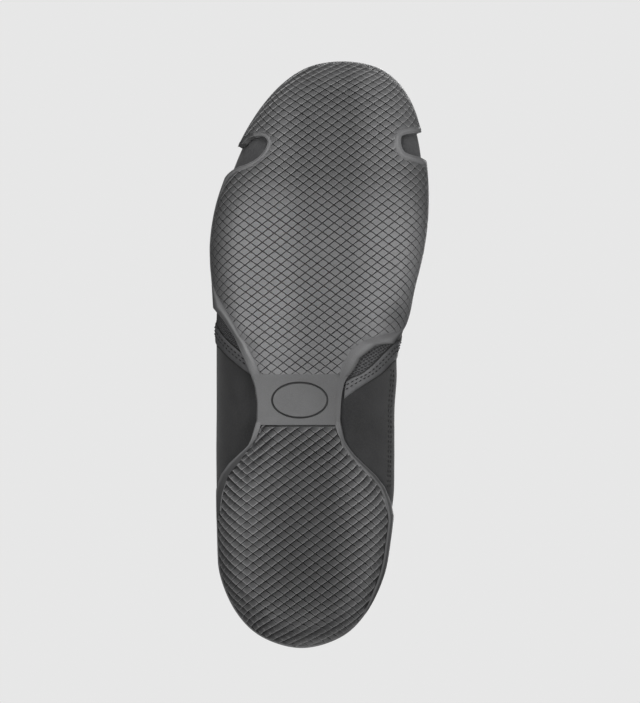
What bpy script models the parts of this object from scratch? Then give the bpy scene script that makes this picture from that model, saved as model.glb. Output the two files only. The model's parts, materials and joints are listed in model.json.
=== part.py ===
"""Boxing shoe for the right foot, unworn and empty, lying on its lateral side.

The shoe is worked out in its own frame, in millimetres: x from the heel to the toe, y to the
medial side, z up from the ground it would stand on. One empty then lays the shoe on its side.
"""
import math
from collections import namedtuple

import bmesh
import bpy
import numpy as np
from mathutils import Matrix, Vector

MM = 0.001                 # metres in a millimetre

# Walls and clearances
GAP = 0.3                  # clearance between pieces that touch
SOLE_GAP = 0.45            # clearance of the rubber over the flat facets of the upper
WELD = 0.01                # points closer than this are one
SHARP = math.radians(40)   # edges that turn more than this stay crisp
UPPER_WALL = 2.2           # sewn upper with its lining
OVERLAY_WALL = 0.9         # leather laid over the upper
TONGUE_WALL = 3.2
SOLE_LIP = 1.5             # thickness of the rubber at the edge of the waist plate
SOLE_SIDE = 2.7            # thickness of the rubber wall round toe and heel
INSOLE_WALL = 2.4          # foot bed above the lasting margin

# The shoe by sections round the foot, from the middle of the heel to the tip of the toe.
# x, lateral, medial: outline seen from below, with lateral and medial as distances from the axis
# belly: height of the widest line of the upper; tuck: how far the wall turns in below it
# sole: share of the full rubber wall that covers the outline there
# top_x, top_half, top_z: edge of collar and throat; lean: degrees the wall leans in at that edge
# pinch: how far the wall draws in between belly and edge; cuts: steps to the next section
Rib = namedtuple("Rib", "x lateral medial belly tuck sole top_x top_half top_z lean pinch cuts")
RIBS = [
    Rib(0.3, 1.6, -1.6, 23, 10, 1.0, 10.0, 0.5, 166.0, 0, 12.0, 2),
    Rib(5.5, 19.6, 16.4, 23, 10, 1.0, 13.5, 17.0, 165.5, 0, 9.0, 2),
    Rib(17.5, 33.0, 29.2, 23, 10, 1.0, 24.0, 30.5, 163.5, 1, 6.0, 2),
    Rib(36.0, 41.5, 38.3, 23, 10, 1.0, 41.0, 37.5, 161.0, 2, 4.0, 2),
    Rib(56.0, 43.6, 42.0, 23, 10, 1.0, 57.0, 39.5, 159.5, 3, 3.0, 2),
    Rib(74.0, 43.6, 43.2, 26, 13, 0.7, 72.0, 39.0, 159.0, 4, 3.0, 3),
    Rib(90.0, 43.5, 43.5, 32, 21, 0.1, 86.0, 35.5, 160.5, 8, 3.0, 3),
    Rib(104.0, 43.2, 43.3, 36, 27, 0.0, 98.0, 28.5, 163.0, 16, 3.0, 2),
    Rib(118.0, 43.1, 43.3, 37, 29, 0.0, 106.0, 20.5, 165.0, 26, 3.0, 2),
    Rib(132.0, 43.2, 44.5, 36, 28, 0.0, 110.5, 16.5, 153.0, 32, 3.0, 2),
    Rib(146.0, 43.6, 45.5, 31, 22, 0.1, 114.0, 15.0, 137.0, 36, 3.5, 6),
    Rib(160.0, 43.8, 49.8, 22, 13, 0.8, 120.0, 14.3, 119.5, 42, 4.0, 3),
    Rib(176.0, 45.6, 54.0, 18, 10, 1.0, 131.0, 13.8, 104.0, 48, 3.5, 2),
    Rib(196.0, 46.6, 58.5, 17, 10, 1.0, 146.0, 13.4, 92.0, 54, 3.0, 2),
    Rib(216.0, 43.8, 60.6, 17, 10, 1.0, 162.0, 13.0, 82.5, 60, 1.5, 2),
    Rib(236.0, 37.2, 60.0, 18, 15, 1.0, 177.0, 12.5, 75.0, 64, 0.0, 2),
    Rib(254.0, 29.0, 57.0, 20, 15, 1.0, 190.0, 11.5, 69.5, 66, 0.0, 2),
    Rib(268.8, 18.6, 51.5, 22, 11, 1.0, 198.5, 9.5, 66.5, 66, 0.0, 2),
    Rib(279.5, 7.5, 43.2, 24, 10, 1.0, 203.5, 6.5, 64.5, 66, 0.0, 2),
    Rib(285.5, -4.0, 32.5, 25, 10, 1.0, 206.0, 3.3, 63.5, 66, 0.0, 2),
    Rib(287.6, -18.0, 18.0, 26, 10, 1.0, 207.0, 0.0, 63.0, 66, 0.0, 2),
]
COLLAR_RIB = 8             # section where the collar turns down into the throat
VAMP_RIB = 19              # section near the rounded end of the throat
THROAT_SWING = 5.5         # the end of the throat lies this far to the medial side
THROAT_X = (110.0, 207.0)  # stations where that swing starts and ends
RISE_HANDLE = 0.35         # share of the rise over which the wall still stands upright
EDGE_HANDLE = 0.25         # share of the distance over which the edge keeps its lean
ROUND = 0.5523             # handle of a quarter circle
STEP = 0.01                # step for slopes along and up the wall
SAMPLES = 200              # points along a line that is measured

# Edge of the rubber where it draws in to the narrow waist, distances from the axis
WaistEdge = namedtuple("WaistEdge", "x lateral medial")
WAIST_EDGES = [
    WaistEdge(64.0, 46.0, 46.0),
    WaistEdge(72.0, 42.9, 41.6),
    WaistEdge(79.5, 41.4, 38.6),
    WaistEdge(85.5, 39.6, 34.8),
    WaistEdge(91.0, 36.6, 29.9),
    WaistEdge(96.0, 32.3, 25.2),
    WaistEdge(103.0, 26.6, 20.4),
    WaistEdge(112.0, 24.0, 18.2),
    WaistEdge(121.0, 23.4, 17.9),
    WaistEdge(128.0, 24.4, 19.1),
    WaistEdge(134.0, 26.6, 21.4),
    WaistEdge(141.0, 29.5, 26.2),
    WaistEdge(147.0, 32.5, 34.0),
    WaistEdge(150.0, 34.0, 41.0),
    WaistEdge(153.0, 35.6, 47.0),
    WaistEdge(160.5, 40.2, 53.0),
    WaistEdge(167.0, 43.6, 56.0),
    WaistEdge(176.0, 48.0, 58.0),
]
FULL_COVER = 0.985         # share of the tuck that the rubber covers away from the waist
LEAST_COVER = 0.05         # and at the narrowest place of the waist
RIM_RISE = 9.5             # height of the rubber's edge over the lower edge of the upper

# Profile of the rubber along the foot: under side (tread) and top of its floor (bed)
Profile = namedtuple("Profile", "x tread bed")
PROFILES = [
    Profile(-5.0, 3.2, 9.4),
    Profile(10.0, 0.9, 7.6),
    Profile(24.0, 0.0, 7.0),
    Profile(60.0, 0.0, 7.0),
    Profile(88.0, 0.0, 6.6),
    Profile(104.0, 1.2, 6.0),
    Profile(120.0, 1.8, 5.4),
    Profile(136.0, 1.2, 5.0),
    Profile(152.0, 0.0, 4.8),
    Profile(190.0, 0.0, 4.8),
    Profile(222.0, 0.0, 4.8),
    Profile(240.0, 1.0, 5.8),
    Profile(258.0, 3.4, 8.2),
    Profile(274.0, 6.8, 11.6),
    Profile(292.0, 11.6, 16.4),
]
SPINE_X = (26.0, 262.0)    # ends of the middle line to which the floors are drawn
FLOOR_SHARE = 0.45         # place of the line between a floor's edge and that middle line

# Flex notches cut in the toe wall: round inner end and the two outer corners
Notch = namedtuple("Notch", "name end_x end_y end_r front_x rear_x outer_y")
NOTCHES = [
    Notch("notch_lateral", 245.2, -22.0, 5.2, 251.5, 230.0, -50.0),
    Notch("notch_medial", 247.2, 48.6, 4.0, 254.5, 237.0, 72.0),
]
NOTCH_Z = (-6.0, 40.0)
NOTCH_SIDES = 16           # facets of the round end

# Overlays, lacing and trim, as places on the wall of the upper (0 lower edge, 1 belly, 2 top edge)
EYESTAY_TAB = 0.5           # sections by which the eyestay reaches round the corner of the collar
TONGUE_RUN = (8.0, 18.8)    # sections between which the tongue closes the throat
TONGUE_ROWS = 23
TONGUE_GAP = 0.9            # clearance of the tongue under the flat facets of the upper
TONGUE_MARGIN = (1.82, 1.90, 1.985)
TONGUE_TIP = 0.7            # share of the width that stands above the collar
TONGUE_CROWN = 1.2
TONGUE_PROUD = (7.0, 15.0)  # steps of the tongue above the collar
TONGUE_LEAN = math.radians(8)   # backward lean of that part
EYELET_WALL = 1.91
EYELET_PAIRS = 7
EYELET_R = 3.1
EYELET_WIRE = 0.75
EYELET_SIDES = (10, 5)      # facets round the ring and round its wire
EYELET_GAP = 0.85           # clearance of the rings over the flat facets of the eyestay
EYELET_RUN = (9.0, 16.6)    # sections between which the eyelets are shared out
LACE_R = 1.35
LACE_GAP = 0.85             # clearance of the bars over the rings, which they cross at a slant
LACE_LIFT = 5.2             # middle of the lace above the wall at the edge of the throat
LACE_OVER = 1.0             # rise of the upper bar of a crossing
LACE_EDGE = 0.17            # share of a bar's run that lies over the eyestay
LACE_SPLIT = 2.7            # half the distance between bars that share an eyelet
BINDING_R = 1.5
TUBE_ROUND = 1              # steps of a quarter round in laces and binding
STRIP_HALF = 0.24           # half the width of the slanted overlays, in sections
STRIP_STEPS = 12
STRIP_GAP = 0.55            # clearance of the slanted overlays over the flat facets of the wall
Strip = namedtuple("Strip", "name side low_rib belly_rib top_rib low_wall top_wall")
STRIPS = [
    Strip("strip_medial", 1, 8.75, 10.35, 12.1, 0.14, 1.79),
    Strip("strip_lateral", -1, 9.55, 10.6, 12.1, 0.35, 1.79),
]

LIE_NAME = "shoe_lying"
BALANCE = Vector((128.0, -2.0, 52.0))   # centre of weight in the shoe's frame
LATERAL_LEAST = 0.8        # least share of the sideways direction in the face it lies on


def clear_scene():
    for item in list(bpy.data.objects):
        bpy.data.objects.remove(item)


def make_collection(name):
    collection = bpy.data.collections.new(name)
    bpy.context.scene.collection.children.link(collection)
    return collection


def make_material(name, colour, roughness, metallic=0.0):
    material = bpy.data.materials.new(name)
    material.use_nodes = True
    shader = material.node_tree.nodes["Principled BSDF"]
    shader.inputs["Base Color"].default_value = (*colour, 1.0)
    shader.inputs["Roughness"].default_value = roughness
    shader.inputs["Metallic"].default_value = metallic
    return material


def add_object(name, mesh, material, collection):
    if not mesh.materials:
        mesh.materials.append(material)
    mesh.shade_smooth()
    mesh.set_sharp_from_angle(angle=SHARP)
    item = bpy.data.objects.new(name, mesh)
    collection.objects.link(item)
    return item


# The wall of the upper as one function of place round the foot and place up the wall

RIB_LAST = len(RIBS) - 1
LOOP = 2 * RIB_LAST        # sections in the closed loop: medial side out, lateral side back


def loop_values():
    """Columns of the section table round the closed loop, medial side first."""
    columns = []
    for index in range(LOOP):
        medial = index <= RIB_LAST
        rib = RIBS[index if medial else LOOP - index]
        side = 1.0 if medial else -1.0
        swing = (rib.top_x - THROAT_X[0]) / (THROAT_X[1] - THROAT_X[0])
        middle = THROAT_SWING * min(max(swing, 0.0), 1.0)
        out = rib.medial if medial else -rib.lateral
        columns.append((rib.x, out, rib.belly, rib.tuck, rib.sole, rib.top_x,
                        middle + side * rib.top_half, rib.top_z, rib.lean, rib.pinch))
    return np.array(columns)


LOOP_VALUES = loop_values()


def along_loop(s):
    """Smooth values of every column at places s round the loop."""
    s = np.asarray(s, dtype=float)
    base = np.floor(s).astype(int)
    f = (s - base)[:, None]
    before, here, after, beyond = (LOOP_VALUES[(base + step) % LOOP] for step in (-1, 0, 1, 2))
    leave = (after - before) / 2
    arrive = (beyond - here) / 2
    return ((2 * f**3 - 3 * f**2 + 1) * here + (f**3 - 2 * f**2 + f) * leave
            + (3 * f**2 - 2 * f**3) * after + (f**3 - f**2) * arrive)


def profile_height(x, column):
    """Height of a profile column at station x, smooth between its rows."""
    stations = np.array([row.x for row in PROFILES])
    heights = np.array([getattr(row, column) for row in PROFILES])
    slopes = np.diff(heights) / np.diff(stations)
    tangents = np.zeros(len(heights))
    for row in range(1, len(heights) - 1):
        if slopes[row - 1] * slopes[row] > 0:
            tangents[row] = 2 / (1 / slopes[row - 1] + 1 / slopes[row])
    tangents[0] = slopes[0]
    tangents[-1] = slopes[-1]
    x = np.clip(x, stations[0], stations[-1])
    row = np.clip(np.searchsorted(stations, x) - 1, 0, len(stations) - 2)
    width = stations[row + 1] - stations[row]
    f = (x - stations[row]) / width
    return ((2 * f**3 - 3 * f**2 + 1) * heights[row] + (f**3 - 2 * f**2 + f) * width * tangents[row]
            + (3 * f**2 - 2 * f**3) * heights[row + 1] + (f**3 - f**2) * width * tangents[row + 1])


def outline_normal(s):
    """Level direction out of the outline."""
    run = along_loop(s + STEP)[:, :2] - along_loop(s - STEP)[:, :2]
    out = np.stack([-run[:, 1], run[:, 0], np.zeros(len(s))], axis=1)
    return out / np.linalg.norm(out, axis=1, keepdims=True)


def wall_frame(s):
    """Outward direction, lower edge, belly and top edge of the wall at places s."""
    x, y, belly, tuck, sole, top_x, top_y, top_z, lean, pinch = along_loop(s).T
    out = outline_normal(s)
    covered = (sole * (SOLE_SIDE + GAP))[:, None]
    widest = np.stack([x, y, belly], axis=1) - out * covered
    foot = widest - out * tuck[:, None]
    foot[:, 2] = profile_height(foot[:, 0], "bed") + GAP
    top = np.stack([top_x, top_y, top_z], axis=1)
    return out, foot, widest, top, np.radians(lean)[:, None], pinch[:, None]


def bezier(points, f):
    a, b, c, d = points
    return (1 - f)**3 * a + 3 * f * (1 - f)**2 * b + 3 * f**2 * (1 - f) * c + f**3 * d


UP = np.array([0.0, 0.0, 1.0])


def wall_point(s, t):
    """Outer face of the upper: s round the foot, t from the lower edge (0) to the top edge (2)."""
    s = np.asarray(s, dtype=float)
    t = np.broadcast_to(np.asarray(t, dtype=float), s.shape)
    out, foot, widest, top, lean, pinch = wall_frame(s)
    level = widest - foot
    rise = level[:, 2:] * UP
    level = level - rise
    turn = (foot, foot + ROUND * level, widest - ROUND * rise, widest)
    height = (top - widest)[:, 2:] * UP
    reach = np.linalg.norm(top - widest, axis=1, keepdims=True)
    edge = EDGE_HANDLE * reach * (out * np.sin(lean) - UP * np.cos(lean))
    climb = (widest, widest + RISE_HANDLE * height - out * pinch, top + edge - out * pinch / 2, top)
    low = bezier(turn, np.clip(t, 0, 1)[:, None])
    high = bezier(climb, np.clip(t - 1, 0, 1)[:, None])
    return np.where((t <= 1)[:, None], low, high)


def wall_normal(s, t):
    s = np.asarray(s, dtype=float)
    t = np.broadcast_to(np.asarray(t, dtype=float), s.shape)
    across = wall_point(s + STEP, t) - wall_point(s - STEP, t)
    up = wall_point(s, np.minimum(t + STEP, 2)) - wall_point(s, np.maximum(t - STEP, 0))
    normal = np.cross(up, across)
    return normal / np.linalg.norm(normal, axis=1, keepdims=True)


def skin(s, t, offset):
    """Face parallel to the upper, offset outwards."""
    return wall_point(s, t) + np.asarray(offset, dtype=float).reshape(-1, 1) * wall_normal(s, t)


def run_length(points):
    """Distance along a line of points, from its start."""
    steps = np.linalg.norm(np.diff(points, axis=0), axis=1)
    return np.concatenate([[0.0], np.cumsum(steps)])


def rubber_reach(s):
    """Place on the wall where the rubber of the sole ends."""
    foot, widest = wall_frame(s)[1:3]
    stations = [row.x for row in WAIST_EDGES]
    medial = np.interp(widest[:, 0], stations, [row.medial for row in WAIST_EDGES])
    lateral = np.interp(widest[:, 0], stations, [row.lateral for row in WAIST_EDGES])
    edge = np.where(s <= RIB_LAST, medial, lateral)
    ends = (widest[:, 0] < stations[0]) | (widest[:, 0] > stations[-1])
    inner = np.abs(foot[:, 1])
    share = (edge - inner) / np.maximum(np.abs(widest[:, 1]) - inner, 1.0)
    share = np.where(ends, FULL_COVER, np.clip(share, LEAST_COVER, FULL_COVER))
    f = np.linspace(0, 1, SAMPLES)
    level = 3 * ROUND * f * (1 - f)**2 + 3 * f**2 * (1 - f) + f**3
    rise = 3 * (1 - ROUND) * f**2 * (1 - f) + f**3
    by_edge = np.interp(share, level, f)
    by_rim = np.interp(RIM_RISE / (widest[:, 2] - foot[:, 2]), rise, f)
    return np.minimum(by_edge, by_rim)


def loop_places():
    """Places of the sections that carry mesh lines, closer together where the sole turns."""
    places = []
    for index in range(LOOP):
        row = index if index < RIB_LAST else LOOP - index - 1
        cuts = RIBS[row].cuts
        places += [index + step / cuts for step in range(cuts)]
    return np.array(places)


PLACES = loop_places()
REACH = rubber_reach(PLACES)
WALL_TURN = (0.0, 0.14, 0.3, 0.46, 0.64, 0.82, 1.0)   # levels of the turn under the foot
WALL_CLIMB = (1.27, 1.55, 1.82, 2.0)                  # levels from the belly to the top edge
INSOLE_RIM = (0.14, 0.46)                             # levels where the foot bed meets the wall


# Meshes from rows of points

def finish_mesh(name, shape):
    """Weld a closed shape and turn its faces outwards."""
    bmesh.ops.remove_doubles(shape, verts=shape.verts, dist=WELD * MM)
    bmesh.ops.dissolve_degenerate(shape, edges=shape.edges, dist=WELD * MM)
    bmesh.ops.recalc_face_normals(shape, faces=shape.faces)
    mesh = bpy.data.meshes.new(name)
    shape.to_mesh(mesh)
    shape.free()
    return mesh


def add_lines(shape, rows):
    return [[shape.verts.new(Vector(point) * MM) for point in row] for row in rows]


def span(shape, low, high, ring):
    """Quads between two lines of corners."""
    count = len(low) if ring else len(low) - 1
    for i in range(count):
        j = (i + 1) % len(low)
        shape.faces.new((low[i], high[i], high[j], low[j]))


def lofted(name, rows):
    """Closed body through ring rows whose first and last row are middle lines."""
    shape = bmesh.new()
    lines = add_lines(shape, rows)
    for low, high in zip(lines, lines[1:]):
        span(shape, low, high, ring=True)
    return finish_mesh(name, shape)


def walled(name, outer, inner, ring):
    """Closed body between an outer and an inner sheet of like rows."""
    shape = bmesh.new()
    outer = add_lines(shape, outer)
    inner = add_lines(shape, inner)
    for lines in (outer, inner):
        for low, high in zip(lines, lines[1:]):
            span(shape, low, high, ring)
    span(shape, outer[0], inner[0], ring)
    span(shape, outer[-1], inner[-1], ring)
    if not ring:
        for end in (0, -1):
            span(shape, [line[end] for line in outer], [line[end] for line in inner], ring)
    return finish_mesh(name, shape)


def spine_row(column, lift):
    """Middle line of a floor, one point for each mesh line of the loop."""
    other = (LOOP - PLACES) % LOOP
    middle = (wall_frame(PLACES)[1] + wall_frame(other)[1]) / 2
    middle[:, 0] = np.clip(middle[:, 0], *SPINE_X)
    middle[:, 1] = np.interp(middle[:, 0], *spine_course())
    middle[:, 2] = profile_height(middle[:, 0], column) + lift
    return middle


def spine_course():
    """Stations and side positions of the middle line."""
    s = np.arange(1, RIB_LAST, dtype=float)
    medial = wall_frame(s)[1]
    lateral = wall_frame(LOOP - s)[1]
    return (medial[:, 0] + lateral[:, 0]) / 2, (medial[:, 1] + lateral[:, 1]) / 2


def floor_row(edge, spine, column):
    """Points between a floor's edge and its middle line, laid on the profile."""
    row = edge + (spine - edge) * FLOOR_SHARE
    row[:, 2] = profile_height(row[:, 0], column)
    return row


def add_outsole(material, collection, cutters):
    sole_share = along_loop(PLACES)[:, 4]
    edge_wall = SOLE_LIP + (SOLE_SIDE - SOLE_LIP) * sole_share
    foot = wall_frame(PLACES)[1]
    tread_wall = foot[:, 2] - GAP - profile_height(foot[:, 0], "tread")
    levels = [np.minimum(level, REACH) for level in WALL_TURN]
    inner = [skin(PLACES, level, SOLE_GAP) for level in levels]
    inner[0][:, 2] = profile_height(inner[0][:, 0], "bed")
    outer = []
    for level in levels:
        thickness = tread_wall + (edge_wall - tread_wall) * level / REACH
        outer.append(skin(PLACES, level, GAP + thickness))
    outer[0][:, 2] = profile_height(outer[0][:, 0], "tread")
    top_spine = spine_row("bed", 0.0)
    under_spine = spine_row("tread", 0.0)
    rows = [top_spine, floor_row(inner[0], top_spine, "bed")]
    rows += inner
    rows += outer[::-1]
    rows += [floor_row(outer[0], under_spine, "tread"), under_spine]
    item = add_object("outsole", lofted("outsole", rows), material, collection)
    for notch in NOTCHES:
        cut = item.modifiers.new(notch.name, "BOOLEAN")
        cut.operation = "DIFFERENCE"
        cut.object = add_notch(notch, cutters)
    return item


def add_notch(notch, cutters):
    """Wedge with a round inner end, upright through the rubber wall."""
    shape = bmesh.new()
    corners = [(notch.front_x, notch.outer_y), (notch.rear_x, notch.outer_y)]
    for angle in np.linspace(0, math.tau, NOTCH_SIDES, endpoint=False):
        corners.append((notch.end_x + notch.end_r * math.cos(angle),
                        notch.end_y + notch.end_r * math.sin(angle)))
    for x, y in corners:
        for z in NOTCH_Z:
            shape.verts.new(Vector((x, y, z)) * MM)
    bmesh.ops.convex_hull(shape, input=shape.verts)
    inside = [corner for corner in shape.verts if not corner.link_faces]
    bmesh.ops.delete(shape, geom=inside, context="VERTS")
    mesh = bpy.data.meshes.new(notch.name)
    shape.to_mesh(mesh)
    shape.free()
    cutter = bpy.data.objects.new(notch.name, mesh)
    cutter.hide_render = True
    cutter.display_type = "WIRE"
    cutters.objects.link(cutter)
    return cutter


def add_insole(material, collection):
    """Foot bed: its middle drops between the lasting margins, its rim lies on them."""
    clear = UPPER_WALL + GAP
    foot = wall_frame(PLACES)[1]
    out = outline_normal(PLACES)
    drop = foot - out * 2 * GAP
    drop[:, 2] = profile_height(drop[:, 0], "bed") + GAP
    step = drop.copy()
    step[:, 2] += clear + GAP
    low_rim, high_rim = (skin(PLACES, level, -(clear + GAP)) for level in INSOLE_RIM)
    under = spine_row("bed", GAP)
    top = GAP + clear + GAP + INSOLE_WALL
    above = spine_row("bed", top)
    rows = [under, drop, step, low_rim, high_rim, above]
    return add_object("insole", lofted("insole", rows), material, collection)


def add_upper(material, collection):
    levels = WALL_TURN + WALL_CLIMB
    outer = [wall_point(PLACES, level) for level in levels]
    inner = [skin(PLACES, level, -UPPER_WALL) for level in levels]
    return add_object("upper", walled("upper", outer, inner, ring=True), material, collection)


def add_overlay(name, places, levels, clear, material, collection):
    """Leather laid over the upper: rows of places, each at its own level on the wall."""
    outer = [skin(row, level, clear + OVERLAY_WALL) for row, level in zip(places, levels)]
    inner = [skin(row, level, clear) for row, level in zip(places, levels)]
    return add_object(name, walled(name, outer, inner, ring=False), material, collection)


def add_eyestay(material, collection):
    """Facing on the last facets of the wall, round the throat from collar corner to collar corner."""
    first = COLLAR_RIB - EYESTAY_TAB
    places = PLACES[(PLACES >= first) & (PLACES <= LOOP - first)]
    levels = WALL_CLIMB[-2:]
    return add_overlay("eyestay", [places] * len(levels), levels, GAP, material, collection)


def strip_course(strip):
    """Places and levels along the middle of a slanted overlay, in even steps."""
    levels = np.linspace(strip.low_wall, strip.top_wall, SAMPLES)
    knots = (strip.low_wall, 1.0, strip.top_wall)
    bend = np.polyfit(knots, (strip.low_rib, strip.belly_rib, strip.top_rib), 2)
    places = np.polyval(bend, levels)
    run = run_length(wall_point(places, levels))
    even = np.linspace(0, run[-1], STRIP_STEPS)
    return np.interp(even, run, places), np.interp(even, run, levels)


def add_strip(strip, material, collection):
    """Slanted overlay from the waist plate up to the eyestay."""
    middle, levels = strip_course(strip)
    rows = [middle + shift for shift in (-STRIP_HALF, 0.0, STRIP_HALF)]
    rows = rows if strip.side > 0 else [LOOP - row for row in rows]
    return add_overlay(strip.name, rows, [levels] * len(rows), STRIP_GAP, material, collection)


def tongue_rows(clear):
    """One face of the tongue, a row for each section of the throat, collar first."""
    places = np.linspace(*TONGUE_RUN, TONGUE_ROWS)
    medial = [skin(places, level, -clear) for level in TONGUE_MARGIN]
    lateral = [skin(LOOP - places, level, -clear) for level in TONGUE_MARGIN]
    edge = TONGUE_MARGIN[-1]
    crown = wall_normal(places, edge) + wall_normal(LOOP - places, edge)
    crown /= np.linalg.norm(crown, axis=1, keepdims=True)
    middle = (medial[-1] + lateral[-1]) / 2 + TONGUE_CROWN * crown
    rows = list(np.stack(medial + [middle] + lateral[::-1], axis=1))
    rise = np.array([-math.sin(TONGUE_LEAN), 0.0, math.cos(TONGUE_LEAN)])
    narrow = middle[0] + (rows[0] - middle[0]) * TONGUE_TIP
    return [narrow + rise * step for step in reversed(TONGUE_PROUD)] + rows


def add_tongue(material, collection):
    clear = UPPER_WALL + TONGUE_GAP
    mesh = walled("tongue", tongue_rows(clear), tongue_rows(clear + TONGUE_WALL), ring=False)
    return add_object("tongue", mesh, material, collection)


def eyelet_places(shift=0.0):
    """Places of the eyelets, equally far apart along the throat, collar first, shifted to the toe."""
    fine = np.linspace(COLLAR_RIB, VAMP_RIB, SAMPLES)
    run = run_length(wall_point(fine, EYELET_WALL))
    first, last = np.interp(EYELET_RUN, fine, run)
    return np.interp(np.linspace(first, last, EYELET_PAIRS) + shift, run, fine)


def facing_frame(place, side):
    """Middle of the eyestay's facet and the direction out of it."""
    s = np.array([place if side > 0 else LOOP - place])
    low, high = (wall_point(s, level)[0] for level in WALL_CLIMB[-2:])
    across = wall_point(s + STEP, EYELET_WALL) - wall_point(s - STEP, EYELET_WALL)
    normal = np.cross(high - low, across[0])
    return (low + high) / 2, normal / np.linalg.norm(normal)


def add_eyelets(material, collection):
    lift = GAP + OVERLAY_WALL + EYELET_GAP + EYELET_WIRE
    items = []
    for side, name in ((1, "medial"), (-1, "lateral")):
        for number, place in enumerate(eyelet_places(), start=1):
            centre, normal = facing_frame(place, side)
            centre = Vector(centre + normal * lift) * MM
            bpy.ops.mesh.primitive_torus_add(major_segments=EYELET_SIDES[0],
                                             minor_segments=EYELET_SIDES[1],
                                             major_radius=EYELET_R * MM,
                                             minor_radius=EYELET_WIRE * MM)
            item = bpy.context.object
            item.name = f"eyelet_{name}_{number}"
            item.data.materials.append(material)
            item.data.shade_smooth()
            turn = Vector(normal).to_track_quat("Z", "Y")
            item.matrix_world = Matrix.Translation(centre) @ turn.to_matrix().to_4x4()
            for old in list(item.users_collection):
                old.objects.unlink(item)
            collection.objects.link(item)
            items.append(item)
    return items


def tube_mesh(name, points, radius):
    """Closed round tube along points, as a mesh with its caps welded."""
    curve = bpy.data.curves.new(name, "CURVE")
    curve.dimensions = "3D"
    curve.bevel_depth = radius * MM
    curve.bevel_resolution = TUBE_ROUND
    curve.use_fill_caps = True
    line = curve.splines.new("POLY")
    line.points.add(len(points) - 1)
    for place, point in zip(line.points, points):
        place.co = (*(Vector(point) * MM), 1.0)
    item = bpy.data.objects.new(name, curve)
    bpy.context.scene.collection.objects.link(item)
    ready = item.evaluated_get(bpy.context.evaluated_depsgraph_get())
    mesh = bpy.data.meshes.new_from_object(ready)
    bpy.data.objects.remove(item)
    shape = bmesh.new()
    shape.from_mesh(mesh)
    bmesh.ops.remove_doubles(shape, verts=shape.verts, dist=WELD * MM)
    bmesh.ops.recalc_face_normals(shape, faces=shape.faces)
    shape.to_mesh(mesh)
    shape.free()
    return mesh


def lace_end(place, side):
    """Middle of the lace where it lies over an eyelet."""
    centre, normal = facing_frame(place, side)
    lift = GAP + OVERLAY_WALL + EYELET_GAP + 2 * EYELET_WIRE + LACE_GAP + LACE_R
    return centre + normal * lift


def lace_edge(place, side, lift):
    """Middle of the lace above the edge of the throat."""
    s = np.array([place if side > 0 else LOOP - place])
    return skin(s, 2.0, lift)[0]


def lace_bar(place, following, side, lift=0.0):
    """Course of one bar: eyelet, edge of the throat, middle, far edge, eyelet on the other side."""
    half = (place + following) / 2
    edge = (following - place) * LACE_EDGE
    middle = (lace_edge(half, 1, LACE_LIFT + lift) + lace_edge(half, -1, LACE_LIFT + lift)) / 2
    return [lace_end(place, side), lace_edge(place + edge, side, LACE_LIFT), middle,
            lace_edge(following - edge, -side, LACE_LIFT), lace_end(following, -side)]


def add_laces(material, collection, cutters):
    """The bar over the vamp, then a crossing of two joined bars between each two pairs of eyelets."""
    ends_low = eyelet_places(LACE_SPLIT)[::-1]
    ends_high = eyelet_places(-LACE_SPLIT)[::-1]
    straight = tube_mesh("lace_bar", lace_bar(ends_low[0], ends_low[0], 1), LACE_R)
    items = [add_object("lace_bar", straight, material, collection)]
    for number, ends in enumerate(zip(ends_high, ends_low[1:]), start=1):
        name = f"lace_cross_{number}"
        item = add_object(name, tube_mesh(name, lace_bar(*ends, 1), LACE_R), material, collection)
        over = tube_mesh(name + "_over", lace_bar(*ends, -1, LACE_OVER), LACE_R)
        other = add_object(name + "_over", over, material, cutters)
        other.hide_render = True
        other.display_type = "WIRE"
        join = item.modifiers.new("crossing", "BOOLEAN")
        join.operation = "UNION"
        join.object = other
        items.append(item)
    return items


def add_binding(material, collection):
    """Bead along the collar, from one corner of the throat round the heel to the other."""
    places = np.concatenate([PLACES[PLACES > LOOP - COLLAR_RIB], PLACES[PLACES < COLLAR_RIB]])
    edge = wall_point(places, 2.0) - wall_normal(places, 2.0) * UPPER_WALL / 2
    edge[:, 2] += BINDING_R + 2 * GAP
    mesh = tube_mesh("collar_binding", edge, BINDING_R)
    return add_object("collar_binding", mesh, material, collection)


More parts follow.
